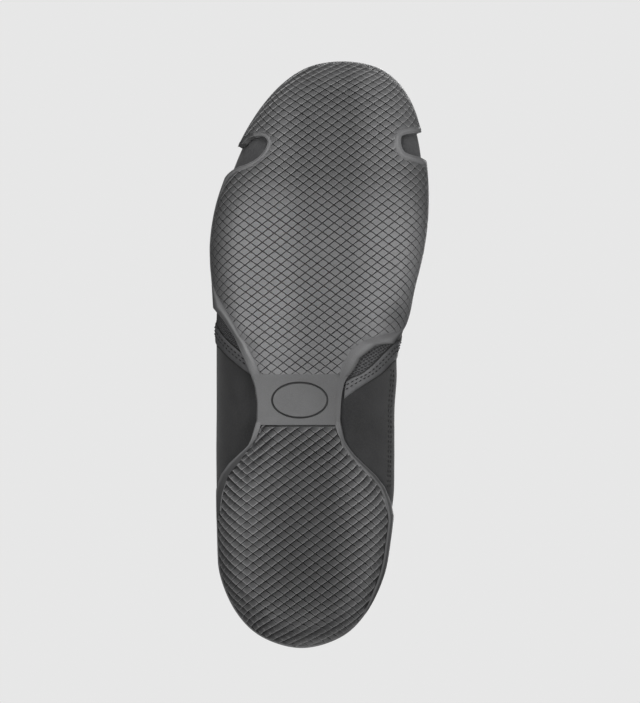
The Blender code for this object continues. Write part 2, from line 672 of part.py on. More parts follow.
def lying_matrix(items):
    """Turn and place of the shoe on its lateral side, resting where its hull carries its weight."""
    graph = bpy.context.evaluated_depsgraph_get()
    hull = bmesh.new()
    for item in items:
        ready = item.evaluated_get(graph)
        mesh = ready.to_mesh()
        for vertex in mesh.vertices:
            hull.verts.new(item.matrix_world @ vertex.co)
        ready.to_mesh_clear()
    centre = sum((v.co for v in hull.verts), Vector()) / len(hull.verts)
    made = bmesh.ops.convex_hull(hull, input=hull.verts)
    lateral = Vector((0.0, -1.0, 0.0))
    best = None
    for face in [part for part in made["geom"] if isinstance(part, bmesh.types.BMFace)]:
        corners = [v.co.copy() for v in face.verts]
        normal = (corners[1] - corners[0]).cross(corners[2] - corners[0]).normalized()
        if normal.dot(corners[0] - centre) < 0:
            normal.negate()
        if normal.dot(lateral) < LATERAL_LEAST:
            continue
        below = BALANCE * MM
        below = below - normal * (below - corners[0]).dot(normal)
        turns = [(b - a).cross(below - a).dot(normal)
                 for a, b in zip(corners, corners[1:] + corners[:1])]
        if min(turns) * max(turns) >= 0:
            best = (normal, corners)
    normal, corners = best
    up = -normal
    back = (Vector((-1.0, 0.0, 0.0)) - up * Vector((-1.0, 0.0, 0.0)).dot(up)).normalized()
    side = up.cross(back)
    turn = Matrix((back, side, up)).to_4x4()
    spread = [turn @ v.co for v in hull.verts]
    low = Vector(min(p[axis] for p in spread) for axis in range(3))
    high = Vector(max(p[axis] for p in spread) for axis in range(3))
    hull.free()
    middle = (low + high) / 2
    return Matrix.Translation(Vector((-middle.x, -middle.y, -low.z))) @ turn


def lay_down(items, collection, cutters):
    rest = bpy.data.objects.new(LIE_NAME, None)
    collection.objects.link(rest)
    rest.matrix_world = lying_matrix(items)
    for item in items + list(cutters.objects):
        item.parent = rest


def main():
    clear_scene()
    shoe = make_collection("boxing_shoe")
    cutters = make_collection("cutters")
    rubber = make_material("rubber", (0.115, 0.115, 0.118), 0.55)
    suede = make_material("suede", (0.035, 0.035, 0.037), 0.9)
    facing = make_material("facing", (0.045, 0.045, 0.047), 0.75)
    lining = make_material("lining", (0.03, 0.03, 0.032), 0.95)
    cord = make_material("cord", (0.05, 0.05, 0.052), 0.9)
    metal = make_material("black_metal", (0.06, 0.06, 0.065), 0.4, 0.8)
    items = [
        add_outsole(rubber, shoe, cutters),
        add_upper(suede, shoe),
        add_insole(lining, shoe),
        add_tongue(suede, shoe),
        add_eyestay(facing, shoe),
        add_binding(facing, shoe),
    ]
    items += [add_strip(strip, facing, shoe) for strip in STRIPS]
    items += add_eyelets(metal, shoe)
    items += add_laces(cord, shoe, cutters)
    lay_down(items, shoe, cutters)


main()
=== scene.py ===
import json
import math

import bmesh
import bpy
import numpy as np
from mathutils import Matrix, Vector
from mathutils.bvhtree import BVHTree


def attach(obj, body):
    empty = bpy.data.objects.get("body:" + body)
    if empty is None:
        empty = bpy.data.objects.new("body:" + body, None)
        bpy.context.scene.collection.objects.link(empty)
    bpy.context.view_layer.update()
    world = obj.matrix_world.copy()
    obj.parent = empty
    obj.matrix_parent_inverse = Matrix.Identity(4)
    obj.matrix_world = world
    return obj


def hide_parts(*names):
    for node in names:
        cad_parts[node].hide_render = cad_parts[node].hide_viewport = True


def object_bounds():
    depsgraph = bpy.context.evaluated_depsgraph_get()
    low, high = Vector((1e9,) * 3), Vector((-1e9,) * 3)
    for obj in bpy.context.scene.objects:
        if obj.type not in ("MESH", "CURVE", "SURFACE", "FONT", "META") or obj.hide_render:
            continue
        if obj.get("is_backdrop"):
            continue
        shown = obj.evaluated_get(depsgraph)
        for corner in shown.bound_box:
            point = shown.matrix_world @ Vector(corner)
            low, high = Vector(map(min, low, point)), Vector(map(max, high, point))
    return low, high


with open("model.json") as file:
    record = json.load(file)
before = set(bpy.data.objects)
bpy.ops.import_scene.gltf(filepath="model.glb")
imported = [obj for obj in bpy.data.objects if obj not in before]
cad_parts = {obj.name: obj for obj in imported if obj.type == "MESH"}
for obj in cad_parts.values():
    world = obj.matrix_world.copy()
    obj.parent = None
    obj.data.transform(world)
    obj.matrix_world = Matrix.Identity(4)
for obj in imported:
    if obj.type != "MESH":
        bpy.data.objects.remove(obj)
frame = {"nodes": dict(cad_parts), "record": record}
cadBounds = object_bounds()
scene = bpy.context.scene
scene.view_settings.view_transform = "Standard"
mm = 0.001
print("frame loaded")

# The shoe is worked out upright, in mm: x from heel to toe, y to the medial side, z up from the ground.
treadSpots = {"forefoot_tread": (190, 6), "heel_tread": (56, -1)}  # the record's two flat faces


def shoeMatrix():
    mounts = {mount["name"]: mount for mount in frame["record"]["mounts"]}
    fore, heel = (Vector(mounts[name]["pos_m"]) for name in treadSpots)
    (foreX, foreY), (heelX, heelY) = treadSpots.values()
    up = -Vector(mounts["heel_tread"]["axis"]).normalized()
    run = (fore - heel).normalized()
    turn = math.atan2(foreY - heelY, foreX - heelX)
    ahead = run * math.cos(turn) - up.cross(run) * math.sin(turn)
    medial = up.cross(ahead)
    origin = heel - (ahead * heelX + medial * heelY) * mm
    axes = Matrix((ahead, medial, up)).transposed().to_4x4()
    return Matrix.Translation(origin) @ axes @ Matrix.Scale(mm, 4)


toWorld = shoeMatrix()


def shoeSpot(x, y, z):
    return toWorld @ Vector((x, y, z))


# The last: sections round the foot, from the middle of the heel to the tip of the toe
last = {
    # x, lateral, medial, belly, tuck, cover, topX, topHalf, topZ, lean, pinch
    "ribs": [
        (0.3, 1.6, -1.6, 23, 10, 1.0, 10.0, 0.5, 166.0, 0, 12.0),
        (5.5, 20.8, 17.6, 23, 10, 1.0, 13.5, 17.0, 165.5, 0, 9.0),
        (17.5, 33.8, 30.4, 23, 10, 1.0, 24.0, 30.5, 163.5, 1, 6.0),
        (36.0, 42.1, 39.4, 23, 10, 1.0, 41.0, 37.5, 161.0, 2, 4.0),
        (56.0, 44.0, 43.1, 23, 10, 1.0, 57.0, 39.5, 159.5, 3, 3.0),
        (74.0, 44.2, 44.3, 26, 13, 0.35, 72.0, 39.0, 159.0, 4, 3.0),
        (90.0, 43.9, 44.1, 32, 21, 0.1, 86.0, 35.5, 160.5, 8, 3.0),
        (104.0, 43.5, 43.9, 36, 27, 0.0, 98.0, 28.5, 163.0, 16, 3.0),
        (118.0, 43.4, 44.0, 37, 29, 0.0, 106.0, 20.5, 165.0, 26, 3.0),
        (132.0, 43.4, 45.0, 36, 28, 0.0, 110.5, 16.5, 153.0, 32, 3.0),
        (146.0, 43.6, 45.5, 31, 22, 0.1, 114.0, 15.0, 137.0, 36, 3.5),
        (160.0, 44.2, 50.2, 22, 13, 0.35, 120.0, 14.3, 119.5, 42, 4.0),
        (176.0, 45.6, 54.0, 18, 10, 1.0, 131.0, 13.8, 104.0, 48, 3.5),
        (196.0, 46.6, 58.5, 17, 10, 1.0, 146.0, 13.4, 92.0, 54, 3.0),
        (216.0, 43.8, 60.6, 17, 10, 1.0, 162.0, 13.0, 82.5, 60, 1.5),
        (236.0, 37.2, 60.0, 18, 15, 1.0, 177.0, 12.5, 75.0, 64, 0.0),
        (254.0, 29.0, 57.0, 20, 15, 1.0, 190.0, 11.5, 69.5, 66, 0.0),
        (268.8, 18.6, 51.5, 22, 11, 1.0, 198.5, 9.5, 66.5, 66, 0.0),
        (279.5, 7.5, 43.2, 24, 10, 1.0, 203.5, 6.5, 64.5, 66, 0.0),
        (285.5, -4.0, 32.5, 25, 10, 1.0, 206.0, 3.3, 63.5, 66, 0.0),
        (287.6, -18.0, 18.0, 26, 10, 1.0, 207.0, 0.0, 63.0, 66, 0.0),
    ],
    "throatSwing": 5.5, "throatX": (110.0, 207.0),
    "riseHandle": 0.35, "edgeHandle": 0.25, "round": 0.5523,
    "wall": 2.2, "gap": 0.3, "step": 0.01, "fineSteps": 200,
}
ribLast = len(last["ribs"]) - 1
loop = 2 * ribLast  # medial side out to the toe, lateral side back to the heel


def loopColumns():
    columns = []
    low, high = last["throatX"]
    for index in range(loop):
        medialSide = index <= ribLast
        x, lateral, medial, belly, tuck, cover, topX, topHalf, topZ, lean, pinch = (
            last["ribs"][index if medialSide else loop - index])
        swing = last["throatSwing"] * min(max((topX - low) / (high - low), 0.0), 1.0)
        topY = swing + topHalf if medialSide else swing - topHalf
        edgeY = medial if medialSide else -lateral
        columns.append((x, edgeY, belly, tuck, cover, topX, topY, topZ, lean, pinch))
    return np.array(columns)


columnsOfLoop = loopColumns()


def unit(vectors):  # each row at a length of one
    return vectors / np.linalg.norm(vectors, axis=-1, keepdims=True)


def hermite(f, start, end, leave, arrive):  # a smooth run from start to end, with its slope at each
    return ((2 * f**3 - 3 * f**2 + 1) * start + (f**3 - 2 * f**2 + f) * leave
            + (3 * f**2 - 2 * f**3) * end + (f**3 - f**2) * arrive)


def alongLoop(s):
    s = np.asarray(s, dtype=float)
    base = np.floor(s).astype(int)
    f = (s - base)[:, None]
    before, here, after, beyond = (columnsOfLoop[(base + step) % loop] for step in (-1, 0, 1, 2))
    return hermite(f, here, after, (after - before) / 2, (beyond - here) / 2)


# The rubber along the foot: under side (tread) and top of its floor (bed), and its edge at the waist
sole = {
    "stations": (-5, 10, 24, 60, 88, 104, 120, 136, 152, 190, 222, 240, 258, 274, 292),
    "tread": (3.2, 0.9, 0, 0, 0, 1.2, 1.8, 1.2, 0, 0, 0, 1.0, 3.4, 6.8, 11.6),
    "bed": (9.4, 7.6, 7.0, 7.0, 6.6, 6.0, 5.4, 5.0, 4.8, 4.8, 4.8, 5.8, 8.2, 11.6, 16.4),
    "edgeRun": (50, 176),
    "edgeLateral": ((64, 46), (72, 42.9), (79.5, 41.4), (85.5, 39.2), (91, 35.7), (96, 30.9), (100, 27.0),
                    (103, 25.5), (112, 22.8), (121, 22.6), (128, 23.6), (134, 25.4), (141, 28.2), (147, 30.8),
                    (150, 32.0), (153, 33.5), (160.5, 38.0), (167, 42.4), (176, 48)),
    "edgeMedial": ((50, 46), (57, 42.4), (64, 41.2), (72, 39.9), (79.5, 37.3), (85.5, 33.3), (91, 28.0),
                   (96, 23.4), (100, 20.5), (103, 18.8), (112, 16.9), (121, 17.4), (128, 18.7), (134, 21.2),
                   (141.7, 26.2), (146.6, 34), (148.6, 41), (151.2, 47), (157.3, 53), (164.2, 56), (176, 58)),
    "fullCover": 0.985, "leastCover": 0.05, "rimRise": 9.5,
    "lip": 1.5, "side": 2.7, "spineX": (26.0, 262.0),
    "rings": 480, "wallRows": 14, "lipRows": 5, "floorRows": 12,
    "notchSteps": 120, "rimSteps": 160, "middleX": 150.0, "castFrom": -60.0, "searchZ": 6.0,
}


def profileHeight(x, column):
    stations, heights = np.array(sole["stations"], float), np.array(sole[column], float)
    slopes = np.diff(heights) / np.diff(stations)
    tangents = np.zeros(len(heights))
    for row in range(1, len(heights) - 1):
        if slopes[row - 1] * slopes[row] > 0:
            tangents[row] = 2 / (1 / slopes[row - 1] + 1 / slopes[row])
    tangents[0], tangents[-1] = slopes[0], slopes[-1]
    x = np.clip(x, stations[0], stations[-1])
    row = np.clip(np.searchsorted(stations, x) - 1, 0, len(stations) - 2)
    width = stations[row + 1] - stations[row]
    f = (x - stations[row]) / width
    return hermite(f, heights[row], heights[row + 1], width * tangents[row], width * tangents[row + 1])


def outlineNormal(s):
    run = alongLoop(s + last["step"])[:, :2] - alongLoop(s - last["step"])[:, :2]
    return unit(np.stack([-run[:, 1], run[:, 0], np.zeros(len(s))], axis=1))


def wallFrame(s):
    x, y, belly, tuck, cover, topX, topY, topZ, lean, pinch = alongLoop(s).T
    out = outlineNormal(s)
    widest = np.stack([x, y, belly], axis=1) - out * (cover * (sole["side"] + last["gap"]))[:, None]
    foot = widest - out * tuck[:, None]
    foot[:, 2] = profileHeight(foot[:, 0], "bed") + last["gap"]
    top = np.stack([topX, topY, topZ], axis=1)
    return out, foot, widest, top, np.radians(lean)[:, None], pinch[:, None]


def bezier(points, f):
    a, b, c, d = points
    return (1 - f)**3 * a + 3 * f * (1 - f)**2 * b + 3 * f**2 * (1 - f) * c + f**3 * d


def wallPoint(s, t):  # t climbs from the lower edge (0) over the belly (1) to the top edge (2)
    s = np.asarray(s, dtype=float)
    t = np.broadcast_to(np.asarray(t, dtype=float), s.shape)
    up = np.array([0.0, 0.0, 1.0])
    out, foot, widest, top, lean, pinch = wallFrame(s)
    level = widest - foot
    rise = level[:, 2:] * up
    level = level - rise
    turn = (foot, foot + last["round"] * level, widest - last["round"] * rise, widest)
    height = (top - widest)[:, 2:] * up
    reach = np.linalg.norm(top - widest, axis=1, keepdims=True)
    edge = last["edgeHandle"] * reach * (out * np.sin(lean) - up * np.cos(lean))
    climb = (widest, widest + last["riseHandle"] * height - out * pinch, top + edge - out * pinch / 2, top)
    low = bezier(turn, np.clip(t, 0, 1)[:, None])
    high = bezier(climb, np.clip(t - 1, 0, 1)[:, None])
    return np.where((t <= 1)[:, None], low, high)


def wallNormal(s, t):
    s = np.asarray(s, dtype=float)
    t = np.broadcast_to(np.asarray(t, dtype=float), s.shape)
    step = last["step"]
    across = wallPoint(s + step, t) - wallPoint(s - step, t)
    up = wallPoint(s, np.minimum(t + step, 2)) - wallPoint(s, np.maximum(t - step, 0))
    return unit(np.cross(up, across))


def skin(s, t, offset):
    return wallPoint(s, t) + np.asarray(offset, dtype=float).reshape(-1, 1) * wallNormal(s, t)


def waistEdge(x):  # half widths of the rubber's edge along the waist
    return [np.interp(x, *np.transpose(sole[side])) for side in ("edgeLateral", "edgeMedial")]


def turnReach(f):  # share of the way out from the lower edge to the belly
    return 3 * last["round"] * f * (1 - f)**2 + 3 * f**2 * (1 - f) + f**3


def rubberReach(s):  # how far up the wall the rubber goes
    foot, widest = wallFrame(s)[1:3]
    lateral, medial = waistEdge(widest[:, 0])
    edge = np.where(s % loop <= ribLast, medial, lateral)
    ends = (widest[:, 0] < sole["edgeRun"][0]) | (widest[:, 0] > sole["edgeRun"][1])
    inner = np.abs(foot[:, 1])
    share = (edge - inner) / np.maximum(np.abs(widest[:, 1]) - inner, 1.0)
    share = np.where(ends, sole["fullCover"], np.clip(share, sole["leastCover"], sole["fullCover"]))
    f = np.linspace(0, 1, last["fineSteps"])
    rise = 3 * (1 - last["round"]) * f**2 * (1 - f) + f**3
    byRim = np.interp(sole["rimRise"] / (widest[:, 2] - foot[:, 2]), rise, f)
    return np.minimum(np.interp(share, turnReach(f), f), byRim)


def runLength(points):
    return np.concatenate([[0.0], np.cumsum(np.linalg.norm(np.diff(points, axis=0), axis=1))])


def resample(points, count):
    points = np.asarray(points, dtype=float)
    run = runLength(points)
    even = np.linspace(0, run[-1], count)
    return np.stack([np.interp(even, run, points[:, axis]) for axis in range(points.shape[1])], axis=1)


# Meshes

def sheet(rows, uv=None, slotOf=None, weld=0.004):  # a grid laid on rows of points, its meeting edges welded
    rows = np.asarray(rows, dtype=float)
    high, wide = rows.shape[:2]
    bm = bmesh.new()
    bmesh.ops.create_grid(bm, x_segments=wide - 1, y_segments=high - 1, size=1.0)
    layer = bm.loops.layers.uv.new("UVMap")
    place = {}
    for vert in bm.verts:
        place[vert] = (round((vert.co.y + 1) / 2 * (high - 1)), round((vert.co.x + 1) / 2 * (wide - 1)))
    for face in bm.faces:
        corners = [place[vert] for vert in face.verts]
        if slotOf:
            face.material_index = slotOf(min(row for row, _ in corners), min(column for _, column in corners))
        if uv is not None:
            for corner, (row, column) in zip(face.loops, corners):
                corner[layer].uv = uv[row, column]
    for vert, (row, column) in place.items():
        vert.co = rows[row, column]
    bmesh.ops.remove_doubles(bm, verts=bm.verts, dist=weld)
    return bm


def capEnds(bm):
    ends = [edge for edge in bm.edges if edge.is_boundary]
    bmesh.ops.holes_fill(bm, edges=ends, sides=0)
    bmesh.ops.recalc_face_normals(bm, faces=bm.faces)
    return bm


def faceDown(bm):  # turns an open sheet's faces to the ground
    bmesh.ops.recalc_face_normals(bm, faces=bm.faces)
    if sum(face.normal.z * face.calc_area() for face in bm.faces) > 0:
        bmesh.ops.reverse_faces(bm, faces=bm.faces)
    return bm


def hoop(radius, wire, steps, sides=10):  # a wire ring round the z axis
    bm = bmesh.new()
    start = Matrix.Translation((radius, 0, 0)) @ Matrix.Rotation(math.pi / 2, 4, "X")
    bmesh.ops.create_circle(bm, segments=sides, radius=wire, matrix=start)
    bmesh.ops.spin(bm, geom=list(bm.verts) + list(bm.edges), cent=(0, 0, 0), axis=(0, 0, 1), angle=math.tau,
                   steps=steps, use_merge=True)
    bmesh.ops.recalc_face_normals(bm, faces=bm.faces)
    return bm


def meshFrom(name, bm):
    mesh = bpy.data.meshes.new(name)
    bm.to_mesh(mesh)
    bm.free()
    return mesh


def newObject(name, data):
    item = bpy.data.objects.new(name, data)
    scene.collection.objects.link(item)
    return item


def joinInto(bm, other):
    mesh = meshFrom("joined", other)
    bm.from_mesh(mesh)
    bpy.data.meshes.remove(mesh)


def makePiece(name, bm, materials, nodes=(), crisp=50):
    bmesh.ops.transform(bm, matrix=toWorld, verts=bm.verts)
    mesh = meshFrom(name, bm)
    for material in materials:
        mesh.materials.append(material)
    mesh.shade_smooth()
    mesh.set_sharp_from_angle(angle=math.radians(crisp))
    piece = newObject(name, mesh)
    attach(piece, "root")
    if nodes:
        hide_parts(*nodes)
    return piece


def carve(bm, cutters):  # cuts closed shapes out of a closed shape
    body, *tools = [newObject("carving", meshFrom("carving", shape)) for shape in (bm, *cutters)]
    for tool in tools:
        cut = body.modifiers.new("cut", "BOOLEAN")
        cut.operation, cut.solver, cut.object = "DIFFERENCE", "EXACT", tool
    ready = body.evaluated_get(bpy.context.evaluated_depsgraph_get())
    result = bmesh.new()
    result.from_mesh(ready.to_mesh())
    ready.to_mesh_clear()
    for item in [body] + tools:
        mesh = item.data
        bpy.data.objects.remove(item)
        bpy.data.meshes.remove(mesh)
    return result


# Materials

def setInputs(item, values):
    for name, value in values.items():
        item.inputs[name].default_value = value


def node(tree, kind, values=None, **settings):
    made = tree.nodes.new(kind)
    for name, value in settings.items():
        setattr(made, name, value)
    setInputs(made, values or {})
    return made


def math2(tree, operation, a, b):  # a math node; a and b are sockets or numbers
    made = node(tree, "ShaderNodeMath", operation=operation)
    for socket, value in zip(made.inputs, (a, b)):
        if isinstance(value, (int, float)):
            socket.default_value = value
        else:
            tree.links.new(value, socket)
    return made.outputs[0]


def mixColour(tree, factor, a, b, blend="MIX"):
    made = node(tree, "ShaderNodeMix", data_type="RGBA", blend_type=blend)
    for name, value in (("Factor", factor), ("A", a), ("B", b)):
        socket = [s for s in made.inputs if s.name == name and s.enabled][0]
        if isinstance(value, (int, float)):
            socket.default_value = value
        elif isinstance(value, tuple):
            socket.default_value = (*value, 1.0)
        else:
            tree.links.new(value, socket)
    return [s for s in made.outputs if s.enabled][0]


def remap(tree, value, low, high, toLow=0.0, toHigh=1.0, smooth=False):
    made = node(tree, "ShaderNodeMapRange", {1: low, 2: high, 3: toLow, 4: toHigh},
                interpolation_type="SMOOTHSTEP" if smooth else "LINEAR")
    tree.links.new(value, made.inputs[0])
    return made.outputs[0]


def nodeGroup(name, inputs, outputs):
    tree = bpy.data.node_groups.new(name, "ShaderNodeTree")
    for label, kind, value in inputs:
        socket = tree.interface.new_socket(label, in_out="INPUT", socket_type=kind)
        if value is not None:
            socket.default_value = value
    for label, kind in outputs:
        tree.interface.new_socket(label, in_out="OUTPUT", socket_type=kind)
    return tree, tree.nodes.new("NodeGroupInput"), tree.nodes.new("NodeGroupOutput")


def grainGroup():  # fine grain and broad patches
    tree, into, out = nodeGroup(
        "grain", [("Vector", "NodeSocketVector", None), ("Size", "NodeSocketFloat", 2000.0),
                  ("Patch", "NodeSocketFloat", 60.0)],
        [("Height", "NodeSocketFloat"), ("Patches", "NodeSocketFloat")])
    fine = node(tree, "ShaderNodeTexNoise", {"Detail": 3.0, "Roughness": 0.6})
    broad = node(tree, "ShaderNodeTexNoise", {"Detail": 4.0, "Roughness": 0.55, "Distortion": 0.4})
    for noise, size in ((fine, "Size"), (broad, "Patch")):
        tree.links.new(into.outputs["Vector"], noise.inputs["Vector"])
        tree.links.new(into.outputs[size], noise.inputs["Scale"])
    tree.links.new(fine.outputs["Fac"], out.inputs["Height"])
    tree.links.new(remap(tree, broad.outputs["Fac"], 0.3, 0.7), out.inputs["Patches"])
    return tree


def meshGroup():  # open knit: staggered holes between threads, on a map in mm
    tree, into, out = nodeGroup(
        "openKnit", [("Vector", "NodeSocketVector", None), ("Pitch", "NodeSocketFloat", 0.7)],
        [("Holes", "NodeSocketFloat"), ("Height", "NodeSocketFloat")])
    turn = node(tree, "ShaderNodeMapping", {"Rotation": (0, 0, math.radians(45)), "Scale": (1.0, 0.8, 1.0)})
    cells = node(tree, "ShaderNodeTexVoronoi", {"Randomness": 0.25}, voronoi_dimensions="2D")
    tree.links.new(into.outputs["Vector"], turn.inputs["Vector"])
    tree.links.new(turn.outputs["Vector"], cells.inputs["Vector"])
    tree.links.new(into.outputs["Pitch"], cells.inputs["Scale"])
    tree.links.new(remap(tree, cells.outputs["Distance"], 0.22, 0.4, 1.0, 0.0, True), out.inputs["Holes"])
    tree.links.new(remap(tree, cells.outputs["Distance"], 0.15, 0.6), out.inputs["Height"])
    return tree


grain = grainGroup()
openKnit = meshGroup()


def startMaterial(name, rough=0.5, coordinates="Object"):
    material = bpy.data.materials.new(name)
    material.use_nodes = True
    tree = material.node_tree
    shader = tree.nodes["Principled BSDF"]
    shader.inputs["Roughness"].default_value = rough
    where = node(tree, "ShaderNodeTexCoord").outputs[coordinates]
    return material, tree, shader, where


def useGroup(tree, group, vector, **values):
    made = node(tree, "ShaderNodeGroup", node_tree=group)
    tree.links.new(vector, made.inputs["Vector"])
    setInputs(made, values)
    return made


def addBump(tree, shader, height, strength, distance):
    bump = node(tree, "ShaderNodeBump", {"Strength": strength, "Distance": distance})
    tree.links.new(height, bump.inputs["Height"])
    tree.links.new(bump.outputs["Normal"], shader.inputs["Normal"])


plate = {"rear": 110.0, "front": 134.2, "columns": 44, "rows": 22, "thick": 1.6, "border": 2.0,
         "ring": (122.0, -2.45), "ringHalf": (8.5, 13.4), "ringWire": 0.5, "ringSteps": 96}

# the light crest colour is a painted highlight along the crests of the tread scales; the groove colour is
# painted shade in the grooves and on the low side of each scale
rubberLook = {"dark": (0.080, 0.080, 0.081), "light": (0.122, 0.122, 0.124), "groove": (0.006, 0.006, 0.0065),
              "crestHighlight": (0.30, 0.30, 0.30), "crestHighlightShare": 0.62, "patchShare": 0.55, "rough": (0.46, 0.6),
              "specular": 0.22}
# gain and sides paint the rims brighter away from the plate, and the lateral side brighter than the medial,
# as the light falls
rimPaintedLight = {"gain": 1.6, "near": (11.0, 28.0), "base": 0.64, "sides": (1.12, 0.86), "sideY": (-22.0, 18.0),
           # painted light and shade on the waist's rims, from the tread (0) out to the edge (1)
           "forePlate": ((0.0, 0.64), (0.6, 0.72), (0.84, 0.5), (1.0, 0.3)),
           "heelPlate": ((0.0, 0.8), (0.75, 0.85), (0.9, 0.6), (1.0, 0.35)),
           "foreLateral": ((0.0, 0.62), (0.1, 0.75), (0.2, 0.95), (0.34, 0.95), (0.48, 0.5), (0.8, 0.36),
                           (0.88, 0.5), (0.94, 0.5), (1.0, 0.2)),
           "foreMedial": ((0.0, 0.56), (0.3, 0.64), (0.5, 0.78), (0.7, 0.72), (0.85, 0.5), (1.0, 0.2)),
           "heelLateral": ((0.0, 0.26), (0.5, 0.3), (0.75, 0.62), (0.9, 0.62), (1.0, 0.25)),
           "heelMedial": ((0.0, 0.5), (0.08, 0.75), (0.2, 0.7), (0.34, 0.32), (0.74, 0.32), (0.84, 0.7),
                          (0.93, 0.7), (1.0, 0.25))}


# painted light and shade on the plate and its rims
def paintRimLight(tree, where, colour):  # the plate and its rims, as bright as their map says
    spot, chart = node(tree, "ShaderNodeSeparateXYZ"), node(tree, "ShaderNodeSeparateXYZ")
    tree.links.new(where, spot.inputs[0])
    tree.links.new(where.node.outputs["UV"], chart.inputs[0])
    middle = shoeSpot(*plate["ring"], 0).x
    far = math2(tree, "ABSOLUTE", math2(tree, "SUBTRACT", spot.outputs[0], middle), 0.0)
    near, away = (mm * distance for distance in rimPaintedLight["near"])
    gain = remap(tree, far, near, away, 1.0, rimPaintedLight["gain"], True)
    sides = (shoeSpot(plate["ring"][0], y, 0).z for y in rimPaintedLight["sideY"])
    # painted light: brighter on the lateral side, darker on the medial
    slope = remap(tree, spot.outputs[2], *sides, *rimPaintedLight["sides"])
    for share in (math2(tree, "ADD", chart.outputs[0], rimPaintedLight["base"]), gain, slope):
        colour = mixColour(tree, 1.0, colour, share, "MULTIPLY")
    return colour


def rubberMaterial(name, tint=1.0, treaded=False, rims=False):
    material, tree, shader, where = startMaterial(name)
    speckle = useGroup(tree, grain, where, Size=2600.0, Patch=45.0)
    dark, light = (tuple(tint * value for value in rubberLook[key]) for key in ("dark", "light"))
    broad, fine = speckle.outputs["Patches"], remap(tree, speckle.outputs["Height"], 0.35, 0.65)
    share = rubberLook["patchShare"]
    patches, specks = math2(tree, "MULTIPLY", broad, share), math2(tree, "MULTIPLY", fine, 1 - share)
    colour = mixColour(tree, math2(tree, "ADD", patches, specks), dark, light)
    if treaded:
        crest, groove, tone = (node(tree, "ShaderNodeAttribute", attribute_name=layer).outputs["Fac"]
                               for layer in ("crest", "groove", "tone"))
        # painted highlight along the scale crests
        crestHighlight = math2(tree, "MULTIPLY", crest, rubberLook["crestHighlightShare"])
        colour = mixColour(tree, crestHighlight, colour, rubberLook["crestHighlight"])
        # painted shade in the grooves and on the low side of each scale
        colour = mixColour(tree, groove, colour, rubberLook["groove"])
        # painted light and shade across the sole
        colour = mixColour(tree, 1.0, colour, tone, "MULTIPLY")
    if rims:
        colour = paintRimLight(tree, where, colour)
    tree.links.new(colour, shader.inputs["Base Color"])
    tree.links.new(remap(tree, broad, 0, 1, *rubberLook["rough"]), shader.inputs["Roughness"])
    setInputs(shader, {"Specular IOR Level": rubberLook["specular"]})
    addBump(tree, shader, speckle.outputs["Height"], 0.35, 0.00012)
    return material


suedeLook = {"dark": (0.013, 0.013, 0.0135), "light": (0.022, 0.022, 0.0225), "nap": (0.04, 0.04, 0.041),
             "napShare": 0.35, "toeX": (180.0, 225.0), "toePale": 2.3}


def suedeMaterial():
    material, tree, shader, where = startMaterial("blackSuede", 0.92)
    nap = useGroup(tree, grain, where, Size=1500.0, Patch=70.0)
    colour = mixColour(tree, nap.outputs["Patches"], suedeLook["dark"], suedeLook["light"])
    tips = remap(tree, nap.outputs["Height"], 0.4, 0.75, 0.0, suedeLook["napShare"])
    colour = mixColour(tree, tips, colour, suedeLook["nap"])
    along = node(tree, "ShaderNodeSeparateXYZ")
    tree.links.new(where, along.inputs[0])
    toeBand = (shoeSpot(x, 0, 0).x for x in suedeLook["toeX"])
    toeward = remap(tree, along.outputs[0], *toeBand, 1.0, suedeLook["toePale"])
    colour = mixColour(tree, 1.0, colour, toeward, "MULTIPLY")  # the toe band is scuffed paler
    tree.links.new(colour, shader.inputs["Base Color"])
    setInputs(shader, {"Specular IOR Level": 0.15, "Sheen Weight": 0.12, "Sheen Roughness": 0.6})
    addBump(tree, shader, nap.outputs["Height"], 0.5, 0.0002)
    return material


def knitMaterial():
    material, tree, shader, where = startMaterial("blackMesh", 0.8, "UV")
    knit = useGroup(tree, openKnit, where, Pitch=1.0)
    colour = mixColour(tree, knit.outputs["Holes"], (0.052, 0.052, 0.054), (0.006, 0.006, 0.0065))
    tree.links.new(colour, shader.inputs["Base Color"])
    addBump(tree, shader, knit.outputs["Height"], 0.8, 0.0005)
    return material


def leatherMaterial(name, dark, light, rough):
    material, tree, shader, where = startMaterial(name, rough)
    hide = useGroup(tree, grain, where, Size=900.0, Patch=120.0)
    tree.links.new(mixColour(tree, hide.outputs["Patches"], dark, light), shader.inputs["Base Color"])
    gloss = remap(tree, hide.outputs["Height"], 0.3, 0.7, rough - 0.08, rough + 0.1)
    tree.links.new(gloss, shader.inputs["Roughness"])
    addBump(tree, shader, hide.outputs["Height"], 0.4, 0.0002)
    return material


def clothMaterial(name, dark, light, size):
    material, tree, shader, where = startMaterial(name, 0.95)
    weave = useGroup(tree, grain, where, Size=size, Patch=90.0)
    tree.links.new(mixColour(tree, weave.outputs["Height"], dark, light), shader.inputs["Base Color"])
    addBump(tree, shader, weave.outputs["Height"], 0.6, 0.0003)
    return material


def metalMaterial():
    material, tree, shader, where = startMaterial("blackPaint", 0.4)
    chips = useGroup(tree, grain, where, Size=1200.0, Patch=400.0)
    colour = mixColour(tree, chips.outputs["Patches"], (0.03, 0.03, 0.032), (0.06, 0.06, 0.064))
    tree.links.new(colour, shader.inputs["Base Color"])
    setInputs(shader, {"Metallic": 0.6})
    return material


rubber = rubberMaterial("greyRubber", treaded=True)
# the smooth plate rubber, with painted light and shade from its map
rubberPlate = rubberMaterial("greyRubberSmooth", 1.22, rims=True)
# a lighter copy of the rubber: painted highlight on the lit side of the notch rims
rubberRimLit = rubberMaterial("greyRubberRimLit", 1.15)
rubberShade = rubberMaterial("greyRubberShade", 0.5)
